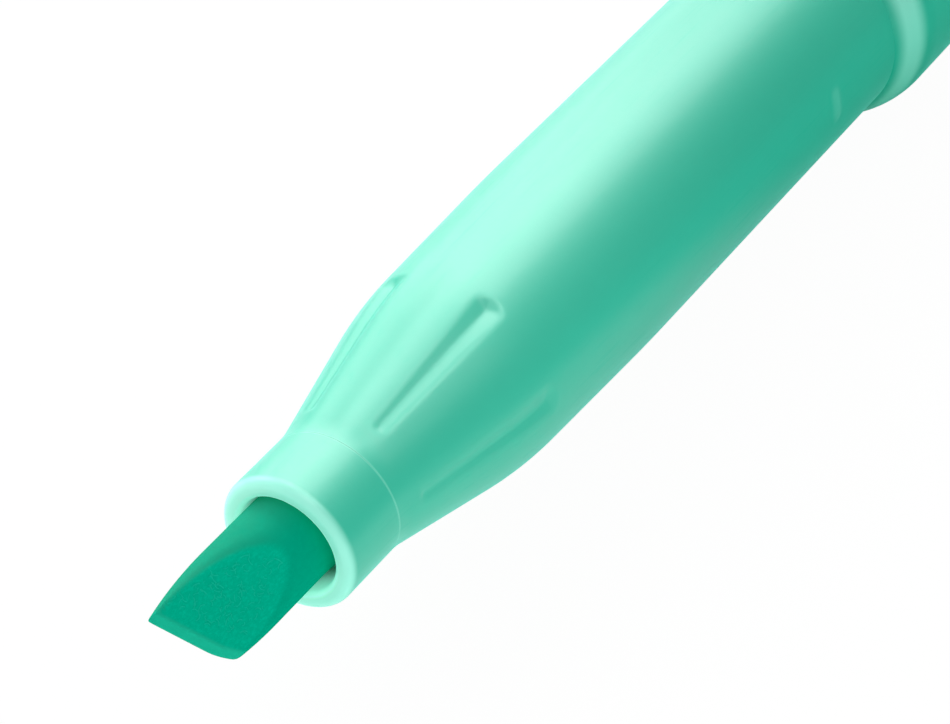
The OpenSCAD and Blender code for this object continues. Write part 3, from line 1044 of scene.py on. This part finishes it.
@dataclass(frozen=True)
class Nib(Assembly):
    """The felt rod with its slanted chisel end, and the loose fibres on its cut faces."""

    radius: float = 2.07
    reach: float = 6.3
    slant: float = 20.0
    slant_start: float = 3.0
    slant_full: float = 1.0
    wedge: float = 20.0
    edge: float = 0.84
    roll: float = 32.0
    end: float = 28.9
    shaft: Pair = (14.0, 6.0)
    taper: float = 0.8
    taper_length: float = 2.0
    play: float = 0.15
    play_reach: Pair = (2.4, 0.4)
    worn: float = 0.39
    worn_start: float = -3.0
    worn_length: float = 4.1
    worn_most: float = 1.2
    facet_rounds: Pair = (0.1, 0.42)
    facet_reach: Pair = (0.4, 3.2)
    tip_round: float = 0.07
    tip_reach: Pair = (0.16, 0.02)
    heel_round: float = 0.1
    heel_reach: Pair = (0.5, 1.6)
    heel_worn: float = 0.26
    heel_start: float = 0.75
    columns: int = 176
    row_step: float = 0.085
    row_last: float = 0.3
    closing: tuple[float, ...] = (0.27, 0.2, 0.14, 0.095, 0.06, 0.034, 0.016, 0.005)
    end_shares: tuple[float, ...] = (0.75, 0.5, 0.25, 0.06)
    sharp_deg: float = 75.0
    lump_size: float = 0.3
    lump_depth: float = 0.012
    lump_noise: tuple[float, float, int] = (0.8, 2.2, 3)
    cut_reach: Pair = (-0.06, 0.14)
    bare_reach: Pair = (0.1, 0.5)
    bare_depth: Pair = (0.3, 0.9)
    search: float = 1.2
    halvings: int = 40
    fibres: FibreLay = FibreLay()

    def rod(self, point: Sequence[Array]) -> Array:
        """Distance outside the rod, which is tapered at its back and worn narrower toward its tip.

        Args:
            point: Distances toward the upper cut face and across it, and the place along the pen.

        Returns:
            The distance, negative inside.
        """
        face, side, place = point
        back = np.clip((place - self.end) / self.taper_length + 1.0, 0.0, 1.0)
        front = np.clip((self.worn_start - place) / self.worn_length, 0.0, self.worn_most)
        across = side + self.play * soft_step(*self.play_reach, place)
        return np.hypot(face, across) - self.radius + self.taper * back + self.worn * front ** 2

    def chisel(self, point: Sequence[Array]) -> tuple[Array, Array]:
        """Where a point is to the cut end.

        Args:
            point: Distances toward the upper cut face and across it, and the place along the pen.

        Returns:
            Distance outside the two cut faces, and depth behind the slanted end.
        """
        face, side, place = point
        lean, slope = math.radians(self.slant), math.radians(self.wedge)
        depth = (place + self.reach) * math.cos(lean) - side * math.sin(lean)
        depth = depth - self.heel_worn * np.maximum(side - self.heel_start, 0.0) ** 2
        return (np.abs(face) - self.edge / 2.0 - depth * math.tan(slope)) * math.cos(slope), depth

    def ring(self, place: float, lean_deg: float) -> Array:
        """Finds the skin round one slanted cut.

        Args:
            place: Place of the cut on the axis.
            lean_deg: How far it leans, in degrees.

        Returns:
            Rows of face, side and place.
        """
        angle = np.arange(self.columns) * math.tau / self.columns
        cos, sin, lean = np.cos(angle), np.sin(angle), math.tan(math.radians(lean_deg))
        low, high = np.zeros(self.columns), np.full(self.columns, self.radius * self.search)
        for _ in range(self.halvings):
            middle = (low + high) / 2.0
            point = (middle * cos, middle * sin, place + middle * sin * lean)
            cut, depth = self.chisel(point)
            rounding = self.tip_round + self.heel_round * soft_step(*self.heel_reach, point[1])
            facets = between(self.facet_rounds, soft_step(*self.facet_reach, depth))
            skinned = soft_max(soft_max(self.rod(point), cut, facets), -depth, rounding)
            low, high = np.where(skinned > 0.0, low, middle), np.where(skinned > 0.0, middle, high)
        return np.stack([low * cos, low * sin, place + low * sin * lean], axis=-1)

    def felt(self) -> Mesh:
        """Skins the nib with rings that lean more and more toward its slanted end.

        Returns:
            The mesh, with its cut faces matted.
        """
        shaft = [self.end, self.end - self.taper_length, *self.shaft]
        open_end = np.arange(self.slant_start, -self.reach + self.row_last, -self.row_step)
        places = np.concatenate([shaft, open_end, -self.reach + np.array(self.closing)])
        leans = self.slant * soft_step(self.slant_start, -self.reach + self.slant_full, places)
        rings = [self.ring(float(place), float(lean)) for place, lean in zip(places, leans)]
        middle = np.array([0.0, 0.0, places[-1]])
        rings += [middle + (rings[-1] - middle) * share for share in self.end_shares]
        mesh = skin([self.axis.lay(self.roll, r[:, 0], r[:, 2], r[:, 1]) for r in rings], self.sharp_deg)
        self.matt(mesh)
        return mesh

    def matt(self, mesh: Mesh) -> None:
        """Marks the cut faces and gives them shallow lumps.

        Args:
            mesh: The felt.
        """
        at, turn = points_of(mesh), math.radians(self.roll)
        face = (at[:, 2] * math.cos(turn) - at[:, 1] * math.sin(turn)) / MM
        side = (-at[:, 1] * math.cos(turn) - at[:, 2] * math.sin(turn)) / MM
        point = face, side, (at[:, 0] - self.axis.nose_x) / MM
        cut, depth = self.chisel(point)
        inside = cut - self.rod(point)
        tip = soft_step(*self.tip_reach, depth)
        exposed = soft_step(*self.bare_reach, inside) * soft_step(*self.bare_depth, depth)
        size = self.lump_size * MM
        lift = np.array([noise.fractal(Vector(p) / size, *self.lump_noise) for p in at])
        normal = np.array([vertex.normal for vertex in mesh.vertices])
        moved = at + normal * (lift * exposed * self.lump_depth * MM)[:, None]
        mesh.vertices.foreach_set("co", moved.astype(np.float32).ravel())
        mark(mesh, "cut", np.maximum(soft_step(*self.cut_reach, inside), tip))
        mark(mesh, "exposed", exposed)
        mark(mesh, "tip", tip)
        mesh.update()

    def build(self) -> None:
        """Makes the nib and its fibres."""
        felt = self.felt()
        strands = self.fibres.mesh(felt, FibreFinish(self.axis).material())
        self.bench.mount("felt_nib", felt, Slot.FELT, Body.PEN, "nib")
        self.bench.mount("nib_fibres", strands, Slot.FELT, Body.PEN)


@dataclass(frozen=True)
class Collar(Assembly):
    """The nib holder: the round collar at the nose, its recess and the plug with air channels."""

    radius: float = 3.23
    length: float = 3.56
    recess_radius: float = 2.355
    recess_length: float = 2.4
    recess_wall: float = 0.3
    guide_radius: float = 2.11
    plug_radius: float = 2.66
    plug_end: float = 12.56
    bead_place: float = 8.06
    lip: float = 0.42
    lip_inside: float = 0.3
    seam: float = 0.018
    channels: Around = Around(4, 45.0)
    channel_width: float = 1.0

    def build(self) -> None:
        """Makes the collar."""
        ledge = self.recess_length - (self.recess_radius - self.guide_radius)
        half = math.degrees(math.asin(self.channel_width / 2.0 / self.guide_radius))
        outline = Outline.rounded(
            (self.recess_radius, 0.0, self.lip_inside), (self.radius, 0.0, self.lip),
            (self.radius, self.length, self.seam), (self.plug_radius, self.length),
            *Bead().on(self.plug_radius, self.bead_place),
            (self.plug_radius, self.plug_end), (self.guide_radius, self.plug_end),
            (self.guide_radius, self.recess_length), (self.recess_radius, ledge))

        def channelled(radius: Array, place: Array, roll: Array) -> Array:
            """Widens the guide in the air channels."""
            inside = (radius < self.guide_radius + TOUCHING) & (np.abs(self.channels.off(roll)) < half)
            return np.where(inside, self.recess_radius, radius)

        mesh = outline.spin(self.axis, self.channels.edges(half), channelled)
        # Marks the recess wall for painted light: pale and glowing, fading out through the wall's
        # thickness.
        thin = soft_step(self.recess_radius + self.recess_wall, self.recess_radius, radii_of(mesh))
        mark(mesh, "thin", thin)
        self.bench.mount("nose_collar", mesh, Slot.PLASTIC, Body.PEN, "nib_holder")


@dataclass(frozen=True)
class Section(Assembly):
    """The front moulding: fluted flare, cap seat with its snap nubs, and the tenon in the barrel."""

    front_radius: float = 3.23
    front: float = 3.56
    seam: float = 0.018
    throat_radius: float = 2.68
    throat_end: float = 13.06
    throat_groove: float = 8.06
    flare_start: float = 4.0804
    flare_angle: float = 12.0
    flare_in_round: float = 4.0
    flare_out_round: float = 22.0
    runout_angle: float = 1.5
    runout_round: float = 110.0
    seat_radius: float = 5.14
    seat_start: float = 21.5
    shoulder: float = 43.3
    tenon_radius: float = 4.53
    tenon_bead: float = 47.8
    tenon_end: float = 52.3
    core_radius: float = 3.78
    core_bore_start: float = 21.9
    wall: float = 0.1
    flutes: Around = Around(6, 20.6)
    flute_front: float = 5.21
    flute_rear: float = 12.61
    flute_halves: Pair = (0.40, 0.76)
    flute_wall: float = 0.35
    flute_bottom: float = 0.13
    flute_edge: float = 0.2
    flute_end: float = 1.5
    flute_rings: Triple = (4.7, 14.0, 0.12)
    flute_columns: tuple[float, float, int] = (-13.0, 13.0, 45)
    nubs: Around = Around(3, 81.0)
    nub_place: float = 37.5
    nub_length: float = 1.0
    nub_height: float = 0.06
    nub_spread: Pair = (0.60, 0.04)
    nub_pale: float = 0.13
    nub_rings: Triple = (36.8, 38.2, 0.08)
    nub_columns: tuple[float, float, int] = (-14.0, 14.0, 33)

    def outline(self) -> Outline:
        """The turned outline, with close rings where the flutes and the nubs are.

        Returns:
            The outline.
        """
        rise, runout = (math.tan(math.radians(angle)) for angle in (self.flare_angle, self.runout_angle))
        growth = self.seat_radius - self.front_radius
        flare_end = (growth + self.flare_start * rise - self.seat_start * runout) / (rise - runout)
        flare_radius = self.front_radius + (flare_end - self.flare_start) * rise
        turned = Outline.rounded(
            (self.throat_radius, self.front), (self.front_radius, self.front, self.seam),
            (self.front_radius, self.flare_start, self.flare_in_round),
            (flare_radius, flare_end, self.flare_out_round),
            (self.seat_radius, self.seat_start, self.runout_round), (self.seat_radius, self.shoulder),
            (self.tenon_radius, self.shoulder), *Bead().on(self.tenon_radius, self.tenon_bead),
            (self.tenon_radius, self.tenon_end), (self.core_radius, self.tenon_end),
            (self.core_radius, self.core_bore_start), (self.throat_radius, self.throat_end),
            *Bead().groove(self.throat_radius, self.throat_groove))
        fluted = turned.refined(*self.flute_rings, self.front_radius - self.wall)
        return fluted.refined(*self.nub_rings, self.seat_radius - self.wall)

    def flute_depth(self, radius: Array, place: Array, roll: Array) -> Array:
        """Depth of the flutes: straight walls, rounded at their edges and their bottom.

        Args:
            radius: Radii of the flare.
            place: Places along the pen.
            roll: Rolls about the pen.

        Returns:
            Depths in millimetres.
        """
        length = self.flute_rear - self.flute_front
        t = np.clip((place - self.flute_front) / length, 0.0, 1.0)
        beyond = place - self.flute_front - t * length
        off = np.hypot(self.flutes.side(radius, roll), beyond * self.flute_end)
        inside = between(self.flute_halves, t) - np.hypot(off, self.flute_bottom)
        return self.flute_wall * soft_max(inside, np.zeros_like(inside), self.flute_edge)

    def nub(self, radius: Array, place: Array, roll: Array) -> Array:
        """Height of the snap nubs above the seat, in millimetres."""
        beside = np.maximum(np.abs(self.nubs.side(radius, roll)) - self.nub_length / 2.0, 0.0)
        return self.nub_height * soft_step(*self.nub_spread, np.hypot(beside, place - self.nub_place))

    def build(self) -> None:
        """Makes the section."""

        def carved(radius: Array, place: Array, roll: Array) -> Array:
            """Sinks the flutes in the flare and raises the nubs on the seat.

            Args:
                radius: Radii of the turned outline.
                place: Places along the pen.
                roll: Rolls about the pen.

            Returns:
                The new radii.
            """
            flare = (radius > self.throat_radius + 3.0 * self.wall) & (place < self.seat_start)
            seat = radius > self.seat_radius - TOUCHING
            sunk = np.where(flare, self.flute_depth(radius, place, roll), 0.0)
            return radius - sunk + np.where(seat, self.nub(radius, place, roll), 0.0)

        extra = [self.flutes.columns(np.linspace(*self.flute_columns)),
                 self.nubs.columns(np.linspace(*self.nub_columns))]
        mesh = self.outline().spin(self.axis, np.concatenate(extra), carved)
        # Paints a pale highlight on the raised nubs.
        raised = soft_step(0.0, self.nub_height, radii_of(mesh) - self.seat_radius)
        mark(mesh, "thin", raised * self.nub_pale)
        self.bench.mount("fluted_section", mesh, Slot.PLASTIC, Body.PEN, "section")


@dataclass(frozen=True)
class Barrel(Assembly):
    """The body tube with its rounded shoulder, the section's socket and the ribs round the core."""

    radius: float = 6.0
    bore_radius: float = 5.0
    bore_round: float = 0.1
    seat_radius: float = 5.14
    shoulder: float = 43.3
    shoulder_top: float = 44.575
    shoulder_round: float = 5.0
    mouth_radius: float = 4.55
    mouth_end: float = 52.8
    tenon_bead: float = 47.8
    bore_start: float = 53.25
    end: float = 108.0
    edge: float = 0.4
    rib_end: float = 98.6
    rib_step: float = 0.02
    ribs: Around = Around(4)
    rib_width: float = 1.0
    core_radius: float = 3.78

    def build(self) -> None:
        """Makes the barrel and dresses the core and its film inside it."""
        half = math.degrees(self.rib_width / 2.0 / self.core_radius)
        outline = Outline.rounded(
            (self.mouth_radius, self.shoulder), (self.seat_radius, self.shoulder),
            (self.radius, self.shoulder_top, self.shoulder_round), (self.radius, self.end, self.edge),
            (self.bore_radius, self.end, self.bore_round), (self.bore_radius, self.rib_end + self.rib_step),
            (self.bore_radius, self.rib_end), (self.bore_radius, self.bore_start),
            (self.mouth_radius, self.mouth_end), *Bead().groove(self.mouth_radius, self.tenon_bead))

        def ribbed(radius: Array, place: Array, roll: Array) -> Array:
            """Raises the ribs inside the bore."""
            bore = (np.abs(radius - self.bore_radius) < TOUCHING) & (place < self.rib_end + TOUCHING)
            return np.where(bore & (np.abs(self.ribs.off(roll)) < half), self.core_radius, radius)

        mesh = outline.spin(self.axis, self.ribs.edges(half), ribbed)
        self.bench.mount("barrel_tube", mesh, Slot.PLASTIC, Body.PEN, "barrel")
        self.bench.dress("ink_core", Slot.CORE)
        self.bench.dress("core_film", Slot.FILM)


@dataclass(frozen=True)
class Tail(Assembly):
    """The tail plug with the spigot that takes the posted cap, and the eraser in its socket."""

    skirt_start: float = 99.0
    skirt_radius: float = 4.98
    skirt_round: float = 0.15
    hollow_radius: float = 4.08
    hollow_end: float = 114.78
    barrel_end: float = 108.0
    spigot_radius: float = 5.14
    spigot_end: float = 121.0
    spigot_edge: float = 0.8
    socket_radius: float = 2.12
    socket_floor: float = 115.98
    cross: float = 0.9
    cross_edge: float = 0.08
    cross_sunk: Pair = (0.3, 0.2)
    stem_radius: float = 2.1
    stem_round: float = 0.2
    eraser_radius: float = 3.6
    eraser_end: float = 127.0
    eraser_round: float = 2.6
    eraser_foot: float = 0.25
    gap: float = 0.02

    def plug(self) -> Mesh:
        """The plug, with the cross that stops the core.

        Returns:
            The mesh.
        """
        turned = Outline.rounded(
            (self.hollow_radius, self.skirt_start), (self.skirt_radius, self.skirt_start, self.skirt_round),
            (self.skirt_radius, self.barrel_end), (self.spigot_radius, self.barrel_end),
            (self.spigot_radius, self.spigot_end, self.spigot_edge), (self.socket_radius, self.spigot_end),
            (self.socket_radius, self.socket_floor), (0.0, self.socket_floor),
            (0.0, self.hollow_end), (self.hollow_radius, self.hollow_end)).spin(self.axis)
        half = self.cross / 2.0
        bar = Cut(self.hollow_radius + self.cross_sunk[0], -half, half, self.cross_edge, crowned=False)
        ends = (self.skirt_start, self.hollow_end + self.cross_sunk[1])
        arms = [skin([bar.lay(self.axis, roll, place) for place in ends]) for roll in (0.0, 90.0)]
        return join(turned, *arms)

    def eraser(self) -> Mesh:
        """The eraser, with its stem.

        Returns:
            The mesh.
        """
        floor, foot = self.socket_floor + self.gap, self.spigot_end + self.gap
        outline = Outline.rounded(
            (0.0, floor), (self.stem_radius, floor, self.stem_round), (self.stem_radius, foot),
            (self.eraser_radius, foot, self.eraser_foot),
            (self.eraser_radius, self.eraser_end, self.eraser_round), (0.0, self.eraser_end))
        return outline.spin(self.axis)

    def build(self) -> None:
        """Makes the plug and the eraser."""
        self.bench.mount("tail_spigot", self.plug(), Slot.PLASTIC, Body.PEN, "tail_plug")
        self.bench.mount("eraser_tip", self.eraser(), Slot.RUBBER, Body.PEN, "eraser")


@dataclass(frozen=True)
class Cap(Assembly):
    """The posted cap with its vents and the boss that carries the clip. Depths are from its mouth."""

    mouth: float = 108.1
    bore_radius: float = 5.22
    bore_round: float = 0.12
    mouth_radius: float = 6.1
    mouth_round: float = 0.25
    crown_radius: float = 5.9
    crown_round: float = 1.1
    length: float = 53.5234
    depth: float = 52.1234
    crown_bore: float = 4.9
    bore_length: float = 24.0
    taper_end: float = 32.0
    snap_place: float = 5.8
    snap_half: float = 0.5
    snap_depth: float = 0.16
    vents: int = 3
    vent_radius: float = 0.55
    vent_place: float = 4.31
    vent_sides: int = 40
    vent_beyond: Pair = (0.5, 0.4)
    vent_edge: Pair = (0.12, 0.52)
    sharp_deg: float = 30.0
    clip_roll: float = 118.0
    boss_start: float = 46.9234
    boss_end: float = 52.4234
    boss_half: float = 2.3
    boss_foot: float = 5.0
    boss_top: float = 8.9
    boss_slope: float = 2.4
    boss_slope_length: float = 1.5
    boss_slope_round: float = 0.3
    boss_slope_rings: Pair = (0.4, 0.6)
    boss_edge: float = 0.35
    boss_edge_share: float = 0.45

    def shell(self) -> Mesh:
        """The turned shell, with the vents cut through its crown.

        Returns:
            The mesh.
        """
        groove, bore = self.bore_radius + self.snap_depth, self.bore_radius
        low, high = self.snap_place - self.snap_half, self.snap_place + self.snap_half
        corners = ((bore, 0.0, self.bore_round), (self.mouth_radius, 0.0, self.mouth_round),
                   (self.crown_radius, self.length, self.crown_round), (0.0, self.length),
                   (0.0, self.depth), (self.crown_bore, self.depth), (self.crown_bore, self.taper_end),
                   (bore, self.bore_length), (bore, high), (groove, high - self.snap_depth),
                   (groove, low + self.snap_depth), (bore, low))
        placed = [(radius, self.mouth + depth, *rounding) for radius, depth, *rounding in corners]
        drills = [self.drill(roll) for roll in Around(self.vents, self.clip_roll + 180.0).rolls()]
        return self.vented(Outline.rounded(*placed).spin(self.axis), drills)

    def drill(self, roll: float) -> Mesh:
        """A round cutter through the crown, wider at the top for the vent's soft edge.

        Args:
            roll: Roll of the vent, in degrees.

        Returns:
            The cutter.
        """
        angle = np.arange(self.vent_sides) * math.tau / self.vent_sides
        rings = []
        (below, above), (fall, widening) = self.vent_beyond, self.vent_edge
        steps = ((self.depth - below, 0.0), (self.length - fall, 0.0), (self.length + above, widening))
        for depth, wider in steps:
            radius = self.vent_radius + wider
            rings.append(self.axis.lay(roll, self.vent_place + radius * np.cos(angle), self.mouth + depth,
                                       radius * np.sin(angle)))
        return skin(rings)

    def vented(self, shell: Mesh, drills: Sequence[Mesh]) -> Mesh:
        """Cuts each drill out of the shell.

        Args:
            shell: The turned shell.
            drills: The cutters.

        Returns:
            The cut shell.
        """
        objects = bpy.context.scene.collection.objects
        work = bpy.data.objects.new("cap_work", shell)
        objects.link(work)
        cutters = [bpy.data.objects.new("drill", drill) for drill in drills]
        for cutter in cutters:
            objects.link(cutter)
            cut = work.modifiers.new("vent", "BOOLEAN")
            cut.operation, cut.solver, cut.object = "DIFFERENCE", "EXACT", cutter
        made = work.evaluated_get(bpy.context.evaluated_depsgraph_get())
        cut_shell = bpy.data.meshes.new_from_object(made)
        for used in (work, *cutters):
            bpy.data.objects.remove(used)
        cut_shell.shade_smooth()
        cut_shell.set_sharp_from_angle(angle=math.radians(self.sharp_deg))
        return cut_shell

    def boss(self) -> Mesh:
        """The boss, sloped into the crown and rounded at its edges.

        Returns:
            The mesh.
        """
        slope = self.boss_end - self.boss_slope_length
        close, far = self.boss_slope_rings
        places = np.concatenate([
            self.boss_start + edge_rise(self.boss_edge), np.linspace(slope - close, slope + close, 7),
            np.linspace(slope + far, self.boss_end, 4)])
        rings = []
        for place in places:
            drawn, past = inset(self.boss_edge, place - self.boss_start), max(place - slope, 0.0)
            half = self.boss_half - drawn
            top = self.boss_top - drawn - self.boss_slope * past ** 2 / (past + self.boss_slope_round)
            room = math.sqrt(top ** 2 - half ** 2) - self.boss_foot
            edge = min(self.boss_edge, self.boss_edge_share * room)
            cut = Cut(half, self.boss_foot, top, edge)
            rings.append(cut.lay(self.axis, self.clip_roll, self.mouth + place))
        return skin(rings)

    def build(self) -> None:
        """Makes the cap and dresses its seal cup."""
        self.bench.mount("cap_shell", join(self.shell(), self.boss()), Slot.PLASTIC, Body.CAP, "cap")
        self.bench.dress("inner_cap", Slot.SEAL)


@dataclass(frozen=True)
class Clip(Assembly):
    """The pocket clip: a crowned bar with a round tip and a pad. Depths are from the cap's mouth."""

    mouth: float = 108.1
    roll: float = 118.0
    root: float = 46.7234
    tip: float = 11.7234
    half: float = 2.3
    inner: float = 7.4
    outer: float = 8.9
    pad: float = 6.3562
    pad_place: float = 3.0
    pad_length: float = 5.0
    pad_rise: Pair = (-0.4, 0.2)
    pad_fall: Pair = (0.3, -0.2)
    pad_rings: tuple[float, int] = (9.5, 24)
    tip_turn: tuple[float, float, int] = (84.0, 20.0, 17)
    tip_last: float = 10.0
    root_ring: float = 6.0
    edge: float = 0.42
    edge_share: float = 0.8

    def underside(self, depth: float) -> float:
        """Distance of the clip's underside from the cap's axis.

        Args:
            depth: Depth from the cap's mouth.

        Returns:
            The distance, less over the pad.
        """
        start, length = self.tip + self.pad_place, self.pad_length
        rise = soft_step(self.tip + self.pad_rise[0], start + self.pad_rise[1], depth)
        fall = soft_step(start + length + self.pad_fall[0], start + length / 3.0 + self.pad_fall[1], depth)
        return between((self.inner, self.pad), float(rise * fall))

    def build(self) -> None:
        """Makes the clip."""
        round_end = self.tip + self.half
        turn = np.radians([*np.linspace(*self.tip_turn), self.tip_last])
        depths = np.concatenate([
            round_end - self.half * np.sin(turn),
            np.linspace(round_end, self.tip + self.pad_rings[0], self.pad_rings[1]),
            [self.root - self.root_ring], self.root - edge_rise(self.edge)[::-1]])
        rings = []
        for depth in depths:
            plan = math.sqrt(max(self.half ** 2 - max(round_end - depth, 0.0) ** 2, 0.0))
            drawn = inset(self.edge, self.root - depth)
            trim = max(drawn, inset(self.edge, depth - self.tip))
            half = plan - drawn
            edge = min(self.edge, self.edge_share * half)
            cut = Cut(half, self.underside(depth) + trim, self.outer - trim, edge)
            rings.append(cut.lay(self.axis, self.roll, self.mouth + depth))
        self.bench.mount("pocket_clip", skin(rings), Slot.PLASTIC, Body.CLIP, "clip")


# Studio


@dataclass(frozen=True)
class SoftBox:
    """A soft box turned toward the nose, with its width round the pen and its depth along it, in metres."""

    name: str
    toward: Triple
    power: float
    width: float = 0.19
    depth: float = 0.20
    shine_only: bool = True
    distance: float = 0.5

    def light(self, focus: Vector) -> None:
        """Puts the box up.

        Args:
            focus: Point that it is turned toward.
        """
        out = Vector(self.toward).normalized()
        across = Vector((1.0, 0.0, 0.0)).cross(out).normalized()
        lamp = bpy.data.lights.new(self.name, "AREA")
        lamp.shape, lamp.size, lamp.size_y, lamp.energy = "RECTANGLE", self.width, self.depth, self.power
        stand = bpy.data.objects.new(self.name, lamp)
        turned = Matrix((across, out.cross(across), out)).transposed().to_4x4()
        stand.matrix_world = Matrix.Translation(focus + out * self.distance) @ turned
        stand.visible_diffuse = not self.shine_only
        bpy.context.scene.collection.objects.link(stand)


@dataclass(frozen=True)
class Studio:
    """White table, soft boxes, dim surroundings and the camera, in metres. Fans give Y, Z and power."""

    axis: PenAxis
    focus: float = 20.0
    floor: float = -0.0061
    table_radius: float = 0.7
    ambient: float = 0.83
    reflected: float = 0.28
    camera_place: Triple = (-0.16381, -0.06465, 0.10283)
    camera_look: Triple = (0.6391, 0.4080, -0.6520)
    camera_clip: Pair = (0.005, 10.0)
    lens: float = 139.23
    sensor: float = 36.0
    seat_fan: tuple[Triple, ...] = (
        (0.332, 0.711, 0.55), (0.069, 0.782, 0.78), (-0.203, 0.757, 0.18), (-0.450, 0.643, 0.04))
    flare_fan: tuple[Triple, ...] = (
        (0.414, 0.888, 1.00), (0.693, 0.693, 0.20), (0.888, 0.414, 0.38),
        (0.085, 0.976, 0.48), (-0.254, 0.946, 0.80), (-0.630, 0.751, 0.28))

    def boxes(self) -> list[SoftBox]:
        """The soft boxes: three that light the pen, and the fans that only shine in it.

        Returns:
            The boxes, in the order in which they are put up.
        """
        made = [SoftBox("key_box", (0.597, 0.516, 0.615), 0.92, 0.25, 0.21, False),
                SoftBox("back_box", (0.597, 0.754, 0.274), 0.64, 0.25, 0.21, False),
                SoftBox("wall_box", (0.100, 0.862, 0.498), 0.79, 0.30, 0.30, False)]
        for name, x, fan in (("shine", 0.620, self.seat_fan), ("flare_shine", 0.200, self.flare_fan)):
            made += [SoftBox(f"{name}_{i}", (x, y, z), power) for i, (y, z, power) in enumerate(fan, 1)]
        return made + [SoftBox("front_shine", (-0.380, -0.129, 0.916), 0.70, depth=0.25)]

    def build(self) -> None:
        """Sets the table, the lamps, the surroundings and the camera."""
        self.table()
        boxes = self.boxes()
        for box in boxes:
            box.light(Vector((self.axis.x(self.focus), 0.0, 0.0)))
        self.surroundings()
        self.camera()
        bpy.context.scene.view_settings.view_transform = "Standard"
        LOG.info("studio: table, %d soft boxes and the camera", len(boxes))

    def table(self) -> None:
        """Lays the round table top."""
        shape = bmesh.new()
        bmesh.ops.create_circle(shape, cap_ends=True, segments=96, radius=self.table_radius,
                                matrix=Matrix.Translation((0.0, 0.0, self.floor)))
        mesh = bpy.data.meshes.new("table_top")
        shape.to_mesh(mesh)
        shape.free()
        mesh.materials.append(TableFinish(self.axis).material())
        table = bpy.data.objects.new("table_top", mesh)
        bpy.context.scene.collection.objects.link(table)

    def surroundings(self) -> None:
        """Dims the surroundings for everything but the camera."""
        world = bpy.data.worlds.new("surroundings")
        world.use_nodes = True
        nodes = Nodes(world.node_tree)
        nodes.tree.nodes.clear()
        dim, shine, white = (
            nodes.node("ShaderNodeBackground", {"Color": WHITE, "Strength": strength}).outputs[0]
            for strength in (self.ambient, self.reflected, 1.0))
        path = nodes.node("ShaderNodeLightPath").outputs
        unseen = nodes.node("ShaderNodeMixShader", {0: path["Is Glossy Ray"], 1: dim, 2: shine}).outputs[0]
        both = nodes.node("ShaderNodeMixShader", {0: path["Is Camera Ray"], 1: unseen, 2: white})
        nodes.node("ShaderNodeOutputWorld", {"Surface": both.outputs[0]})
        bpy.context.scene.world = world

    def camera(self) -> None:
        """Sets the camera up."""
        lens = bpy.data.cameras.new("camera")
        lens.lens, lens.sensor_width, lens.sensor_fit = self.lens, self.sensor, "HORIZONTAL"
        lens.clip_start, lens.clip_end = self.camera_clip
        camera = bpy.data.objects.new("camera", lens)
        turn = Vector(self.camera_look).to_track_quat("-Z", "Y").to_matrix().to_4x4()
        camera.matrix_world = Matrix.Translation(Vector(self.camera_place)) @ turn
        bpy.context.scene.collection.objects.link(camera)
        bpy.context.scene.camera = camera


def main() -> None:
    """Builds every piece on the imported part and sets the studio."""
    logging.basicConfig(level=logging.INFO, format="%(name)s: %(message)s")
    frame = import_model()
    axis = PenAxis(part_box("nib_holder")[0].x)
    finishes = {Slot.PLASTIC: PlasticFinish, Slot.FELT: FeltFinish, Slot.CORE: CoreFinish,
                Slot.FILM: FilmFinish, Slot.RUBBER: RubberFinish, Slot.SEAL: SealFinish}
    made = {slot: finish(axis).material() for slot, finish in finishes.items()}
    bench = Bench(axis, made, frame["nodes"])
    for assembly in (Nib, Collar, Section, Barrel, Tail, Cap, Clip):
        assembly(bench).build()
    Studio(axis).build()


if __name__ == "__main__":
    main()
